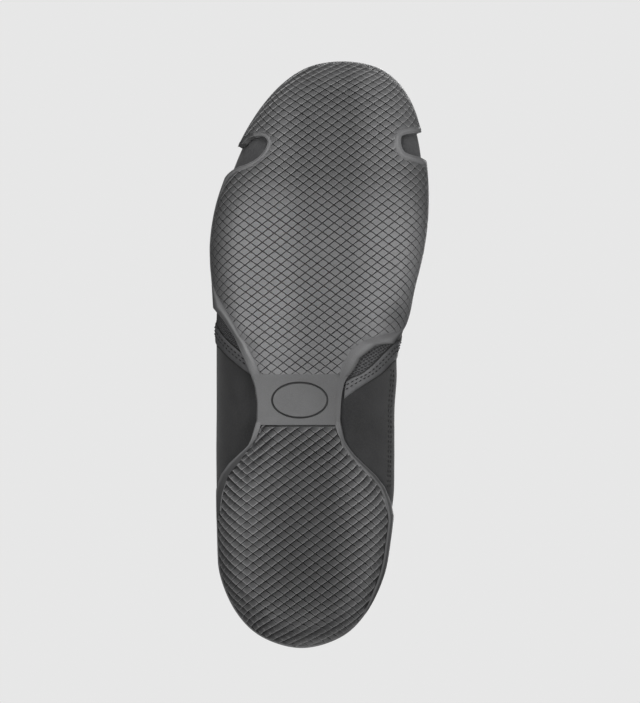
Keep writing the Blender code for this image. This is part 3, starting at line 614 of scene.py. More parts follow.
# a near black copy of the rubber: painted shade in the recesses
rubberDeepShade = rubberMaterial("greyRubberDeepShade", 0.14)
suede = suedeMaterial()
knit = knitMaterial()
strapLeather = leatherMaterial("blackStrap", (0.045, 0.045, 0.047), (0.07, 0.07, 0.072), 0.6)
# near black: painted shadow along the strips' edges
stripShadowEdge = leatherMaterial("stripShadowEdge", (0.006, 0.006, 0.006), (0.01, 0.01, 0.01), 0.8)
lining = clothMaterial("blackLining", (0.018, 0.018, 0.019), (0.034, 0.034, 0.036), 1400.0)
laceCloth = clothMaterial("blackLace", (0.02, 0.02, 0.021), (0.05, 0.05, 0.052), 2200.0)
thread = clothMaterial("blackThread", (0.006, 0.006, 0.006), (0.016, 0.016, 0.016), 3000.0)
blackPaint = metalMaterial()
print("materials made")

# Upper: one wall, knit over the toes, suede behind the strips, lining inside
upper = {
    "columns": 400, "turnRows": 22, "climbRows": 40, "innerRows": 16,
    "toeBand": (12.5, 27.5), "toeBandTop": 0.95,  # suede round the toe, below the mesh
    "creases": [  # place x y z, run x y z, half length, half width, depth
        ((122, 34, 92), (0.72, 0.1, 0.68), 20, 3.0, 1.0),
        ((118, 36, 80), (0.80, 0.1, 0.58), 23, 3.4, 0.9),
        ((121, -33, 94), (0.72, -0.1, 0.68), 20, 3.0, 1.0),
        ((117, -35, 82), (0.80, -0.1, 0.58), 23, 3.4, 0.9),
        ((222, 10, 62), (0.1, 1.0, 0.0), 26, 3.0, 0.8),
        ((213, 6, 66), (0.05, 1.0, 0.0), 22, 2.6, 0.6),
        ((34, 34, 118), (0.95, 0.2, 0.1), 22, 3.2, 0.6),
        ((34, -36, 120), (0.95, -0.2, 0.1), 22, 3.2, 0.6),
    ],
}
strips = {  # each strip's place along the foot at three levels of the wall
    "medial": {"side": 1, "ribs": (8.50, 10.18, 12.1), "levels": (0.08, 1.0, 1.79)},
    "lateral": {"side": -1, "ribs": (9.42, 10.66, 12.1), "levels": (0.22, 1.0, 1.79)},
}
stripCourse = {"straight": 0.8, "blend": 0.25}  # how straight it runs under the belly, and over what levels


def stripRib(strip, level):
    low, belly, _ = strip["levels"]
    start, middle, _ = strip["ribs"]
    bend = np.polyval(np.polyfit(strip["levels"], strip["ribs"], 2), level)
    straight = start + (middle - start) * turnReach(np.clip((level - low) / (belly - low), 0, 1))
    share = stripCourse["straight"] * np.clip((belly - level) / stripCourse["blend"], 0, 1)
    return bend + share * (straight - bend)


def creaseDepth(points):
    depth = np.zeros(len(points))
    for place, run, half, wide, deep in upper["creases"]:
        run = unit(np.array(run))
        away = points - np.array(place)
        along = away @ run
        across = np.linalg.norm(away - along[:, None] * run, axis=1)
        depth += deep * np.exp(-(across / wide)**2 - (along / half)**2)
    return depth


def buildUpper():
    places = np.linspace(0, loop, upper["columns"] + 1)
    outer = np.concatenate([np.linspace(0, 1, upper["turnRows"], endpoint=False),
                            np.linspace(1, 2, upper["climbRows"])])
    inner = np.linspace(2, 0, upper["innerRows"])
    levels = np.concatenate([outer, inner, outer[:1]])
    offsets = np.concatenate([np.zeros(len(outer)), np.full(len(inner), -last["wall"]), [0.0]])
    rows = []
    belly = runLength(wallPoint(places, 1.0))
    for level, offset in zip(levels, offsets):
        points = skin(places, level, offset)
        if level > 0:
            points = points - creaseDepth(points)[:, None] * wallNormal(places, level)
        rows.append(points)
    rise = np.cumsum([0.0] + [np.linalg.norm(b - a, axis=1).mean() for a, b in zip(rows, rows[1:])])
    uv = np.stack(np.meshgrid(belly, rise), axis=2)
    fore = {side: stripRib(strip, np.minimum(levels, strip["levels"][2])) for side, strip in strips.items()}
    bandStart, bandEnd = upper["toeBand"]

    def slotOf(row, column):
        if row >= len(outer) - 1:
            return 2
        place = places[column]
        ahead = place > fore["medial"][row] and loop - place > fore["lateral"][row]
        band = bandStart < place < bandEnd and levels[row] < upper["toeBandTop"]
        return int(ahead and not band)

    bm = sheet(rows, uv, slotOf)
    bmesh.ops.recalc_face_normals(bm, faces=bm.faces)
    makePiece("upper_shell", bm, [suede, knit, lining], ["upper"])


buildUpper()
print("upper built")


# Outsole
def soleEdgeWall(places):
    return sole["lip"] + (sole["side"] - sole["lip"]) * alongLoop(places)[:, 4]


def spineRow(places, column):
    other = (loop - places) % loop
    middle = (wallFrame(places)[1] + wallFrame(other)[1]) / 2
    s = np.arange(1, ribLast, dtype=float)
    course = (wallFrame(s)[1] + wallFrame(loop - s)[1]) / 2
    middle[:, 0] = np.clip(middle[:, 0], *sole["spineX"])
    middle[:, 1] = np.interp(middle[:, 0], course[:, 0], course[:, 1])
    middle[:, 2] = profileHeight(middle[:, 0], column)
    return middle


def underRows(places):  # from the middle line out over the tread and up the wall to the rim
    reach = rubberReach(places)
    edgeWall = soleEdgeWall(places)
    foot = wallFrame(places)[1]
    treadWall = foot[:, 2] - last["gap"] - profileHeight(foot[:, 0], "tread")
    wall = []
    for share in np.linspace(0, 1, sole["wallRows"]):
        wall.append(skin(places, reach * share, last["gap"] + treadWall + (edgeWall - treadWall) * share))
    wall[0][:, 2] = profileHeight(wall[0][:, 0], "tread")
    spine = spineRow(places, "tread")
    floor = []
    for share in np.linspace(0, 1, sole["floorRows"], endpoint=False):
        row = spine + (wall[0] - spine) * share
        row[:, 2] = profileHeight(row[:, 0], "tread")
        floor.append(row)
    return floor + wall


ringPlaces = np.linspace(0, loop, sole["rings"] + 1)
under = underRows(ringPlaces)
underSheet = sheet(under)
underTree = BVHTree.FromBMesh(underSheet)
underSheet.free()
rimPlan = under[-1][:-1, :2]


def settle(plan, relief):  # drops points on the under side, raised out of it by their relief
    placed = []
    for (x, y), rise in zip(plan, relief):
        hit, normal = underTree.ray_cast(Vector((x, y, sole["castFrom"])), Vector((0, 0, 1)))[:2]
        if hit is None:
            hit, normal = underTree.find_nearest(Vector((x, y, sole["searchZ"])))[:2]
        if normal.z > 0:
            normal = -normal
        placed.append(hit + normal * rise)
    return placed


# each notch also gives the point where its rim's painted highlight begins
notches = [  # inner edge of each flex notch, from its front corner to its rear one, and its rounded rim
    {"edge": [(243.9, -56.0), (244.2, -34.0), (246.0, -30.4), (248.6, -28.4), (249.9, -25.6), (250.3, -21.5),
              (249.3, -18.8), (246.5, -17.7), (242.4, -19.5), (239.0, -22.9), (236.2, -27.7), (234.8, -33.2),
              (232.0, -37.4), (228.6, -40.0), (223.5, -42.0), (218.0, -45.0), (212.0, -56.0)],
     "middle": (244.0, -26.0), "rim": 1.7, "highlightFrom": (250.2, -24.5)},
    {"edge": [(254.6, 74.0), (252.0, 56.2), (250.8, 48.2), (249.4, 46.5), (246.0, 46.5), (243.0, 47.4),
              (241.2, 49.6), (239.6, 57.0), (236.5, 61.5), (231.0, 64.0), (229.0, 74.0)],
     "middle": (247.0, 54.0), "rim": 2.9, "highlightFrom": (254.0, 70.0)},
]


def rounded(line, count, times=3):  # a course with its corners cut, evenly spaced
    line = np.asarray(line, dtype=float)
    for _ in range(times):
        nearer, further = line[:-1] * 0.75 + line[1:] * 0.25, line[:-1] * 0.25 + line[1:] * 0.75
        cut = np.stack([nearer, further], axis=1).reshape(-1, line.shape[1])
        line = np.concatenate([line[:1], cut, line[-1:]])
    return resample(line, count)


def outward(line, middle):  # plan directions square to a course, away from its middle
    run = np.gradient(line, axis=0)
    out = unit(np.stack([run[:, 1], -run[:, 0]], axis=1))
    return out if ((line - np.array(middle)) * out).sum() > 0 else -out


def notchOutline(notch, grow=0.0):
    edge = rounded(notch["edge"], sole["notchSteps"])
    return edge + grow * notch["rim"] * outward(edge, notch["middle"])


def edgeDistance(points, outline):  # distance inside an outline, nearest edge point and the way out
    a, b = outline, np.roll(outline, -1, axis=0)
    run = b - a
    share = ((points[:, None] - a) * run).sum(2) / np.maximum((run**2).sum(1), 1e-9)
    near = a + np.clip(share, 0, 1)[:, :, None] * run
    gaps = np.linalg.norm(points[:, None] - near, axis=2)
    best = gaps.argmin(1)
    index = np.arange(len(points))
    nearest, distance = near[index, best], gaps[index, best]
    crossing = ((a[:, 1] > points[:, 1:2]) != (b[:, 1] > points[:, 1:2]))
    level = a[:, 0] + (points[:, 1:2] - a[:, 1]) * run[:, 0] / np.where(run[:, 1] == 0, 1e-9, run[:, 1])
    inside = (crossing & (points[:, 0:1] < level)).sum(1) % 2 == 1
    area = (a[:, 0] * b[:, 1] - b[:, 0] * a[:, 1]).sum()
    out = unit(np.stack([run[best, 1], -run[best, 0]], axis=1) * (1 if area > 0 else -1))
    return np.where(inside, distance, -distance), nearest, out


# Edges of the two tread fields beside the smooth rim of the waist, from the plate outwards
treadEdges = {
    "foreLateral": [(134.2, -22.0), (137.0, -23.0), (141.4, -24.6), (145.0, -26.7), (149.7, -28.9),
                    (153.1, -31.9), (159.5, -35.3), (165.4, -38.7), (173.7, -43.1)],
    "foreMedial": [(134.2, 17.2), (139.4, 18.6), (142.8, 20.4), (146.3, 23.0), (148.7, 26.0), (150.7, 29.4),
                   (151.9, 32.8), (153.3, 36.8), (154.4, 41.7), (155.6, 46.9)],
    "heelLateral": [(109.1, -21.3), (106.1, -22.4), (101.7, -24.6), (96.3, -28.7), (91.9, -31.5),
                    (86.0, -36.8), (76.2, -40.2), (66.0, -41.6)],
    "heelMedial": [(109.1, 14.8), (106.1, 15.5), (99.2, 19.1), (94.1, 22.8), (89.2, 27.7), (85.0, 31.9),
                   (80.6, 35.8), (75.7, 38.2), (70.3, 39.7)],
}


def rimStretch(start, end, margins):  # the rim's plan from one place round to another, drawn in by margins
    places = np.linspace(start, end, sole["rimSteps"])
    inset = np.interp(places, *np.transpose(margins))[:, None]
    reach = rubberReach(places)
    edge = skin(places, reach, last["gap"] + soleEdgeWall(places)) - outlineNormal(places) * inset
    return edge[:, :2]


def curl(over, radius, back):  # plan length of a run up a wall that turns away, or the run of a plan length
    if back:
        return radius * np.arcsin(np.clip(over / radius, 0, tread["steepest"]))
    return radius * np.sin(np.minimum(over / radius, tread["furthest"]))


def lengthWrap(x, wrap, back=False):  # rows draw together where the tread wraps up toe and heel
    start, radius = wrap
    toeward = 1 if start > sole["middleX"] else -1
    over = np.maximum((np.asarray(x, dtype=float) - start) * toeward, 0)
    return np.where(over > 0, start + toeward * curl(over, radius, back), x)


rimHalves = {"medial": rimPlan[:sole["rings"] // 2 + 1], "lateral": rimPlan[:sole["rings"] // 2 - 1:-1]}


def sideWrap(x, y, radius, back=False):  # columns draw together up the side walls
    medial = np.interp(x, *rimHalves["medial"].T)
    lateral = np.interp(x, *rimHalves["lateral"].T)
    middle, half = (medial + lateral) / 2, np.maximum((medial - lateral) / 2, 1.0)
    turn = np.minimum(radius, half * tread["mostTurn"])
    side = np.sign(y - middle)
    over = np.maximum(np.abs(y - middle) - (half - turn), 0)
    return np.where(over > 0, middle + side * (half - turn + curl(over, turn, back)), y)


tread = {
    "foreRun": (10.75, 27.9), "foreRim": ((20.0, 0.5),),
    "heelRun": (35.6, 44.4), "heelRim": ((41.6, 0.5), (42.6, 2.6)),
    "cells": 80, "reach": 3.3, "thinnest": 0.2, "shortest": 0.45, "notchRim": 1.0,
    "wholeCell": 0.8, "partInset": 0.5, "brimDrop": 0.05,
    "steepest": 0.985, "furthest": 1.55, "mostTurn": 0.45,
    "fore": {"half": (2.163, 2.91), "turn": 0.023, "cross": (135.5, -21.95), "middle": (40, 6),
             # groove and crest are inset widths; secondArm and fade set the painted highlight and painted
             # shade on the scales
             "wrap": (240.0, 56.0), "sideTurn": 16.0, "groove": 0.25, "crest": 0.42, "secondArm": 0.3,
             "depth": 0.75, "recess": 0.0, "tilt": 0.62, "lean": ((-60, 0.5), (70, 0.5)),
             "scaleFrom": (200.0, 232.0), "fade": 0.45, "least": 0.22,
             # toneY and toneX paint light and shade across the sole: lit bands, a shaded middle and shaded
             # edges
             "toneY": ((-47, 0.65), (-40, 0.9), (-30, 1.28), (-12, 1.27), (0, 0.92), (22, 0.89), (34, 1.28),
                       (46, 1.38), (54, 1.2), (61, 0.9)),
             "toneX": ((134, 1.07), (200, 1.01), (232, 0.75), (250, 0.79), (270, 0.92), (288, 1.27)),
             "dusk": [(163.0, 45.0, 8.0, 0.4)]},  # patches in the shade: place, half width and depth
    "heel": {"half": (2.229, 3.01), "turn": 0.0, "cross": (108.0, -4.0), "middle": (-24, 0),
             "wrap": (40.0, 48.0), "sideTurn": 18.0, "groove": 0.2, "crest": 0.5, "secondArm": 0.6,
             "depth": 1.1, "recess": 0.42, "tilt": 0.95, "lean": ((-32, -1.0), (-23, 1.0)),
             "scaleFrom": (-20.0, -10.0), "fade": 1.0, "least": 1.0,
             # toneY and toneX paint the heel's light and shade: lit sides and a shaded middle
             "toneY": ((-43, 1.0), (-34, 1.0), (-24, 0.87), (-8, 0.53), (12, 0.49), (28, 0.93), (36, 0.93),
                       (43, 0.75)),
             "toneX": ((0, 1.2), (14, 1.02), (25, 0.77), (50, 0.82), (80, 1.02), (110, 1.36)),
             "dusk": []},
}


def faceCentres(bm):
    faces = list(bm.faces)
    return faces, np.array([face.calc_center_median()[:2] for face in faces])


def roomInside(points, outline, holes):  # distance inside an outline and clear of its holes, and that edge
    best = edgeDistance(points, outline)
    for hole in holes:
        inside, near, out = edgeDistance(points, hole)
        closer = -inside < best[0]
        best = tuple(np.where(closer if k == 0 else closer[:, None], value, old)
                     for k, (value, old) in enumerate(zip((-inside, near, -out), best)))
    return best


def cutCells(bm, field, outlines):  # lays the lattice over a field and trims it at the field's edges
    halfX, halfY = field["half"]
    i0, j0 = field["middle"]
    cells = tread["cells"]
    bmesh.ops.create_grid(bm, x_segments=cells, y_segments=cells, size=cells / 2)
    slant = Matrix(((halfX, halfX, 0, halfX * i0), (halfY, -halfY, 0, halfY * j0),
                    (0, 0, 1, 0), (0, 0, 0, 1)))
    lattice = Matrix.Translation((*field["cross"], 0)) @ Matrix.Rotation(-field["turn"], 4, "Z") @ slant
    bmesh.ops.transform(bm, matrix=lattice, verts=bm.verts)
    outline, *holes = [np.stack([lengthWrap(line[:, 0], field["wrap"], True),
                                 sideWrap(*line.T, field["sideTurn"], True)], axis=1) for line in outlines]
    faces, centres = faceCentres(bm)
    rooms = roomInside(centres, outline, holes)[0]
    away = [face for face, room in zip(faces, rooms) if room < -tread["reach"]]
    bmesh.ops.delete(bm, geom=away, context="FACES")
    bmesh.ops.split_edges(bm, edges=bm.edges)
    faces, centres = faceCentres(bm)
    for face, room, spot, way in zip(faces, *roomInside(centres, outline, holes)):
        if abs(room) < tread["reach"]:
            bmesh.ops.bisect_plane(bm, geom=[face, *face.edges, *face.verts], dist=1e-5, clear_outer=True,
                                   plane_co=(*spot, 0), plane_no=(*way, 0))
    bmesh.ops.dissolve_degenerate(bm, dist=tread["shortest"], edges=bm.edges)
    thin = [face for face in bm.faces if face.calc_area() < tread["thinnest"] * face.calc_perimeter()]
    bmesh.ops.delete(bm, geom=thin, context="FACES")


def insetCells(bm, field):  # sets a groove and then a brim round each cell, and gives the corners of both
    halfX, halfY = field["half"]
    tops = list(bm.faces)
    whole = halfX * halfY * 2 * tread["wholeCell"]
    groups = [[face for face in tops if (face.calc_area() > whole) == full] for full in (True, False)]
    corners = []
    for width in (field["groove"], field["crest"]):
        for group, share in zip(groups, (1.0, tread["partInset"])):
            bmesh.ops.inset_individual(bm, faces=group, thickness=width * share, use_even_offset=share == 1)
        corners.append({vert for face in tops for vert in face.verts})
    return corners


# painted light and shade over the tread: bands across and along the sole, and shaded patches
def paintedTreadLight(field, plan):
    tones = np.interp(plan[:, 1], *zip(*field["toneY"])) * np.interp(plan[:, 0], *zip(*field["toneX"]))
    for x, y, wide, deep in field["dusk"]:
        tones *= 1 - deep * np.exp(-((plan[:, 0] - x)**2 + (plan[:, 1] - y)**2) / wide**2)
    return tones


def treadField(field, outline, holes):
    bm = bmesh.new()
    crest, groove, tone = (bm.verts.layers.float.new(name) for name in ("crest", "groove", "tone"))
    cutCells(bm, field, [outline] + holes)
    brim, crown = insetCells(bm, field)
    plan = np.array([vert.co[:2] for vert in bm.verts])
    halfX, halfY = field["half"]
    x, y = (plan - np.array(field["cross"])).T
    cos, sin = math.cos(field["turn"]), math.sin(field["turn"])
    i, j = (x * cos - y * sin) / halfX, (x * sin + y * cos) / halfY
    rowOne, rowTwo = np.floor((i + j) / 2), np.floor((i - j) / 2)  # the cell's rows in the lattice
    back = rowOne + rowTwo + 1 - i  # 1 at the heel end of a cell, -1 at its toe end
    side = j - rowOne + rowTwo  # 1 at its medial corner, -1 at its lateral one
    plan[:, 0] = lengthWrap(plan[:, 0], field["wrap"])
    plan[:, 1] = sideWrap(*plan.T, field["sideTurn"])
    lean = np.interp(plan[:, 1], *zip(*field["lean"]))  # towards which arm of its edge a scale rises
    low, high = field["scaleFrom"]
    scale = np.maximum(np.clip((plan[:, 0] - low) / (high - low), 0, 1), field["least"])
    rise = np.clip(back + lean * side, -1, 1)
    # the second arm of each scale's edge gets a weaker painted highlight too
    secondArm = field["secondArm"] * np.maximum(back - lean * side, 0)
    tones = paintedTreadLight(field, plan)
    relief = np.full(len(plan), -field["depth"])
    for k, vert in enumerate(bm.verts):
        lift = scale[k] * field["tilt"] * rise[k] / 2 - field["recess"]
        vert[tone] = tones[k]
        if vert in crown:
            relief[k] = lift
            # painted shade, darkest at the low toe-ward end of each scale
            vert[groove] = scale[k] * field["fade"] * (1 - rise[k]) / 2
        elif vert in brim:
            relief[k] = lift - tread["brimDrop"]
            # painted highlight on the brim, on the arm of the edge leaned towards the light
            vert[crest] = scale[k] * min(max(rise[k], 0.0) + secondArm[k], 1.0)
            # painted shade on the brim where the scale sits low
            vert[groove] = scale[k] * field["fade"] * max(-rise[k], 0.0)
        else:
            # painted shade on the groove floors
            vert[groove] = 1.0
    for vert, spot in zip(bm.verts, settle(plan, relief)):
        vert.co = spot
    for hole in holes:
        faces, centres = faceCentres(bm)
        stray = [face for face, room in zip(faces, edgeDistance(centres, hole)[0]) if room > 0]
        bmesh.ops.delete(bm, geom=stray, context="FACES")
    return faceDown(bm)


def buildTread():
    edges = {name: np.array(line) for name, line in treadEdges.items()}
    fore = np.concatenate([edges["foreMedial"], rimStretch(*tread["foreRun"], tread["foreRim"]),
                           edges["foreLateral"][::-1]])
    heel = np.concatenate([edges["heelLateral"], rimStretch(*tread["heelRun"], tread["heelRim"]),
                           edges["heelMedial"][::-1]])
    holes = [notchOutline(notch, tread["notchRim"]) for notch in notches]
    makePiece("tread_forefoot", treadField(tread["fore"], fore, holes), [rubber], crisp=25)
    makePiece("tread_heel", treadField(tread["heel"], heel, []), [rubber], crisp=25)
    return fore, heel


foreField, heelField = buildTread()
print("tread built")

shell = {"sink": 1.25, "blend": 1.0, "innerRows": 5, "plateRows": 20, "plateMargin": 1.0, "deepFrom": 0.4,
         "clear": 0.15, "swell": 0.4, "climb": 0.02, "cutter": (-6.0, 40.0), "facingUp": 0.2}


def gridNormals(rows, ring=True):  # pointing out of the rubber
    if ring:
        along = np.roll(rows, -1, axis=1) - np.roll(rows, 1, axis=1)
        along[:, [0, -1]] = (rows[:, 1] - rows[:, -2])[:, None]
    else:
        along = np.gradient(rows, axis=1)
    normal = np.cross(along, np.gradient(rows, axis=0))
    normal /= np.maximum(np.linalg.norm(normal, axis=2, keepdims=True), 1e-9)
    return normal * np.where(normal[..., 2:] > shell["facingUp"], -1.0, 1.0)


def plateOutline():  # plan of the smooth plate, inside its border
    margin = shell["plateMargin"]
    x = np.linspace(plate["rear"] - margin, plate["front"] + margin, shell["plateRows"])
    lateral, medial = waistEdge(x)
    return np.concatenate([np.stack([x, plate["border"] - lateral], axis=1),
                           np.stack([x, medial - plate["border"]], axis=1)[::-1]])


def notchCutter(notch):
    edge = notchOutline(notch)
    return capEnds(sheet([np.column_stack([edge, np.full(len(edge), z)]) for z in shell["cutter"]]))


def buildShell():
    places = ringPlaces
    rows, deep = [], []
    fields = (foreField, heelField, plateOutline())
    rims = [notchOutline(notch, tread["notchRim"]) for notch in notches]
    for row, normal in zip(under, gridNormals(np.array(under))):
        plan = row[:, :2]
        each = [edgeDistance(plan, field)[0] for field in fields]
        clear = [-edgeDistance(plan, outline)[0] for outline in rims]
        inside = np.min([np.max(each, axis=0), *clear], axis=0)
        rows.append(row - normal * (shell["sink"] * np.clip(inside / shell["blend"], 0, 1))[:, None])
        deep.append(np.max(each[1:], axis=0) > shell["blend"] * shell["deepFrom"])
    reach, edgeWall = rubberReach(places), soleEdgeWall(places)
    climb = unit(wallPoint(places, reach) - wallPoint(places, reach - shell["climb"]))
    for turn in np.linspace(0, math.pi, sole["lipRows"] + 2)[1:-1]:
        swell = (edgeWall / 2)[:, None] * math.sin(turn) * shell["swell"]
        rows.append(skin(places, reach, shell["clear"] + edgeWall / 2 * (1 + math.cos(turn))) + climb * swell)
    for share in np.linspace(1, 0, shell["innerRows"]):
        rows.append(skin(places, reach * share, shell["clear"]))
    rows[-1][:, 2] = profileHeight(rows[-1][:, 0], "bed")
    rows.append(spineRow(places, "bed"))
    # faces sunk under the tread fields get the painted shade
    bm = sheet(rows, slotOf=lambda row, column: int(row < len(deep) and deep[row][column]))
    bmesh.ops.recalc_face_normals(bm, faces=bm.faces)
    bm = carve(bm, [notchCutter(notch) for notch in notches])
    makePiece("outsole_shell", bm, [rubberPlate, rubberDeepShade], ["outsole"], crisp=40)


buildShell()

rim = {"rise": 0.05, "drop": 1.0, "columns": 90, "rows": 17, "plateFlat": 0.7, "fade": 30.0, "clear": 1.3,
       "courseSteps": 400,
       "stretches": {"foreLateral": (31.0, 27.9), "foreMedial": (9.0, 10.95), "heelLateral": (32.45, 35.6),
                     "heelMedial": (7.55, 2.0)},
       "overlap": {"fore": 0.34, "heel": -0.3}}


def flatter(points, share):  # draws points on the wall down towards the level of the tread
    points = np.array([tuple(point) for point in points])
    level = profileHeight(points[:, 0], "tread")
    points[:, 2] -= share * np.maximum(points[:, 2] - level, 0)
    return points


def bandRows(start, end, field, overlap):  # smooth rubber from a tread field's edge up to the rim
    places = np.linspace(start, end, rim["columns"])
    grid = np.array(underRows(places))
    grid = grid + rim["rise"] * gridNormals(grid, False)
    rows = np.zeros((rim["rows"] + 1, rim["columns"], 3))
    courses = [resample(grid[:, column], rim["courseSteps"]) for column in range(rim["columns"])]
    widths = np.full(rim["columns"], np.nan)
    reach = plate["front"] - plate["ring"][0]
    for column, course in enumerate(courses):
        inside = np.nonzero(edgeDistance(course[:, :2], field)[0] > 0)[0]
        if len(inside) and abs(course[inside[-1], 0] - plate["ring"][0]) > reach + rim["clear"]:
            widths[column] = np.diff(runLength(course)[[inside[-1], -1]])[0] + overlap
    known = np.nonzero(~np.isnan(widths))[0]
    widths = np.interp(np.arange(rim["columns"]), known, widths[known])
    for column, course in enumerate(courses):
        run = runLength(course)
        spots = np.linspace(run[-1] - widths[column], run[-1], rim["rows"])
        for axis in range(3):
            rows[1:, column, axis] = np.interp(spots, run, course[:, axis])
    nearPlate = (rim["fade"] - np.abs(rows[1:, :, 0] - plate["ring"][0])) / (rim["fade"] - reach)
    share = rim["plateFlat"] * np.clip(nearPlate, 0, 1).ravel()
    rows[1:] = flatter(rows[1:].reshape(-1, 3), share).reshape(rows[1:].shape)
    rows[0] = rows[1]
    rows[0, :, 2] += rim["drop"]
    return rows


# painted light and shade on the rim bands
def rimLightMap(name, rows):  # brightness beyond the plate's own, kept in the band's map
    across = np.concatenate([[0.0], np.linspace(0, 1, rim["rows"])])
    near, away = rimPaintedLight["near"]
    share = np.clip((np.abs(rows[:, :, 0] - plate["ring"][0]) - near) / (away - near), 0, 1)
    share = share**2 * (3 - 2 * share)
    close, apart = (np.interp(across, *np.transpose(rimPaintedLight[key]))[:, None]
                    for key in (name[:4] + "Plate", name))
    tone = close + (apart - close) * share - rimPaintedLight["base"]
    return np.stack([tone, np.zeros_like(tone)], axis=2)


def plateSlab():  # the smooth plate between the treads, with an oval groove
    x = np.linspace(plate["rear"], plate["front"] + rim["overlap"]["fore"], plate["rows"])
    low, high = [], []
    for along, lateral, medial in zip(x, *waistEdge(x)):
        across = np.linspace(-lateral, medial, plate["columns"])
        line = np.stack([np.full(plate["columns"], along), across], axis=1)
        low.append(flatter(settle(line, np.full(len(line), rim["rise"])), rim["plateFlat"]))
        high.append(np.array(settle(line, np.full(len(line), -plate["thick"]))))
    low, high = np.array(low), np.array(high)
    slab = capEnds(sheet(np.concatenate([low, high[:, ::-1], low[:, :1]], axis=1)))
    ring = hoop(1.0, plate["ringWire"], plate["ringSteps"])
    (x, y), (halfX, halfY) = plate["ring"], plate["ringHalf"]
    for vert in ring.verts:
        swell = math.hypot(vert.co.x, vert.co.y) - 1
        turn = math.atan2(vert.co.y, vert.co.x)
        plan = (x + (halfX + swell) * math.cos(turn), y + (halfY + swell) * math.sin(turn))
        spot = flatter(settle([plan], [rim["rise"]]), rim["plateFlat"])[0]
        vert.co = Vector(spot) + Vector((0, 0, vert.co.z))
    for face in ring.faces:
        # the oval groove gets the painted shade
        face.material_index = 1
    return carve(slab, [ring])


def buildWaist():
    bm = bmesh.new()
    for name, (start, end) in rim["stretches"].items():
        fore = name.startswith("fore")
        rows = bandRows(start, end, foreField if fore else heelField, rim["overlap"][name[:4]])
        joinInto(bm, faceDown(sheet(rows, rimLightMap(name, rows))))
    joinInto(bm, plateSlab())
    makePiece("waist_plate", bm, [rubberPlate, rubberDeepShade], crisp=35)


buildWaist()

lip = {"section": ((-0.09, -2.2), (0.0, -0.4), (0.18, 0.2), (0.5, 0.45), (0.82, 0.25), (1.06, -0.5)),
       "steps": 60, "courseSteps": 400, "inside": 0.3}


# each notch rim is painted shaded before its highlight point and painted lit from there on
def buildNotchRims():  # rounded rim round each flex notch
    bm = bmesh.new()
    for notch in notches:
        course = rounded(notch["edge"], lip["courseSteps"])
        course = resample(course[edgeDistance(course, rimPlan)[0] > lip["inside"]], lip["steps"])
        bright = np.linalg.norm(course - np.array(notch["highlightFrom"]), axis=1).argmin()
        out = outward(course, notch["middle"]) * notch["rim"]
        rows = [settle(course + out * away, np.full(len(course), rise)) for away, rise in lip["section"]]
        joinInto(bm, faceDown(sheet(rows, slotOf=lambda row, column: int(column < bright))))
    makePiece("notch_rims", bm, [rubberRimLit, rubberShade], crisp=60)


buildNotchRims()
print("outsole built")

# Slanted strips, eyestay and stitches
# the outer points at plus and minus 1.25 make thin flat skirts past the edges; on the strips they carry a
# painted shadow line
overlay = {"section": ((-1.25, 0.02), (-1.25, 0.2), (-1.0, 0.25), (-1.0, 0.7), (-0.93, 0.95), (-0.6, 1.05),
                       (0.0, 1.1), (0.6, 1.05), (0.93, 0.95), (1.0, 0.7), (1.0, 0.25), (1.25, 0.2),
                       (1.25, 0.02)),
           "stripHalf": 0.30, "stripThick": 0.65, "stripColumns": 80, "stripStitches": (-0.05, 0.5),
           "stripTop": 1.05, "stayEnd": 7.5, "stayColumns": 240, "stayLevels": (1.82, 1.995),
           "stayStitches": (0.1, 0.88), "stayTop": 1.0}
seam = {"places": (5.3, 9.4), "columns": 120, "shifts": (0.0, 0.07),
        "levels": ((5, 0.54), (6, 0.64), (7, 0.69), (9, 0.70), (10, 0.66))}
stitch = {"long": 1.7, "pitch": 2.5, "thick": 0.32, "lift": 0.12, "probe": 0.5}


def stitchRow(bm, places, level, lift):  # short threads laid end to end along a course on the wall
    points, normals = skin(places, level, lift), wallNormal(places, level)
    run = runLength(points)
    size = Matrix.Diagonal((stitch["long"] / 2, stitch["thick"], stitch["thick"], 1.0))

    def at(distance, values):
        return Vector([np.interp(distance, run, values[:, axis]) for axis in range(3)])

    for start in np.arange(stitch["pitch"] / 2, run[-1], stitch["pitch"]):
        spot, up = at(start, points), at(start, normals).normalized()
        along = (at(start + stitch["probe"], points) - at(start - stitch["probe"], points)).normalized()
        turn = Matrix((along, up.cross(along).normalized(), up)).transposed().to_4x4()
        seat = Matrix.Translation(spot + up * stitch["lift"]) @ turn @ size
        bmesh.ops.create_uvsphere(bm, u_segments=6, v_segments=4, radius=1.0, matrix=seat)


def buildStrips(stitches):
    for name, strip in strips.items():
        levels = np.linspace(strip["levels"][0], strip["levels"][2], last["fineSteps"])
        middle = stripRib(strip, levels)
        run = runLength(wallPoint(middle if strip["side"] > 0 else loop - middle, levels))
        even = np.linspace(0, run[-1], overlay["stripColumns"])
        middle, levels = np.interp(even, run, middle), np.interp(even, run, levels)

        def across(share):
            rib = middle + share * overlay["stripHalf"]
            return rib if strip["side"] > 0 else loop - rib

        thick = overlay["stripThick"]
        rows = [skin(across(share), levels, offset * thick) for share, offset in overlay["section"]]
        # the skirt faces are painted near black as the shadow line along the strip's edges
        shadowSkirts = (0, 1, len(rows) - 3, len(rows) - 2)
        bm = capEnds(sheet(rows + rows[:1], slotOf=lambda row, column: int(row in shadowSkirts)))
        looks = [strapLeather, stripShadowEdge]
        makePiece("strip_" + name + "_band", bm, looks, ["strip_" + name], crisp=45)
        for share in overlay["stripStitches"]:
            stitchRow(stitches, across(share), levels, overlay["stripTop"] * thick)


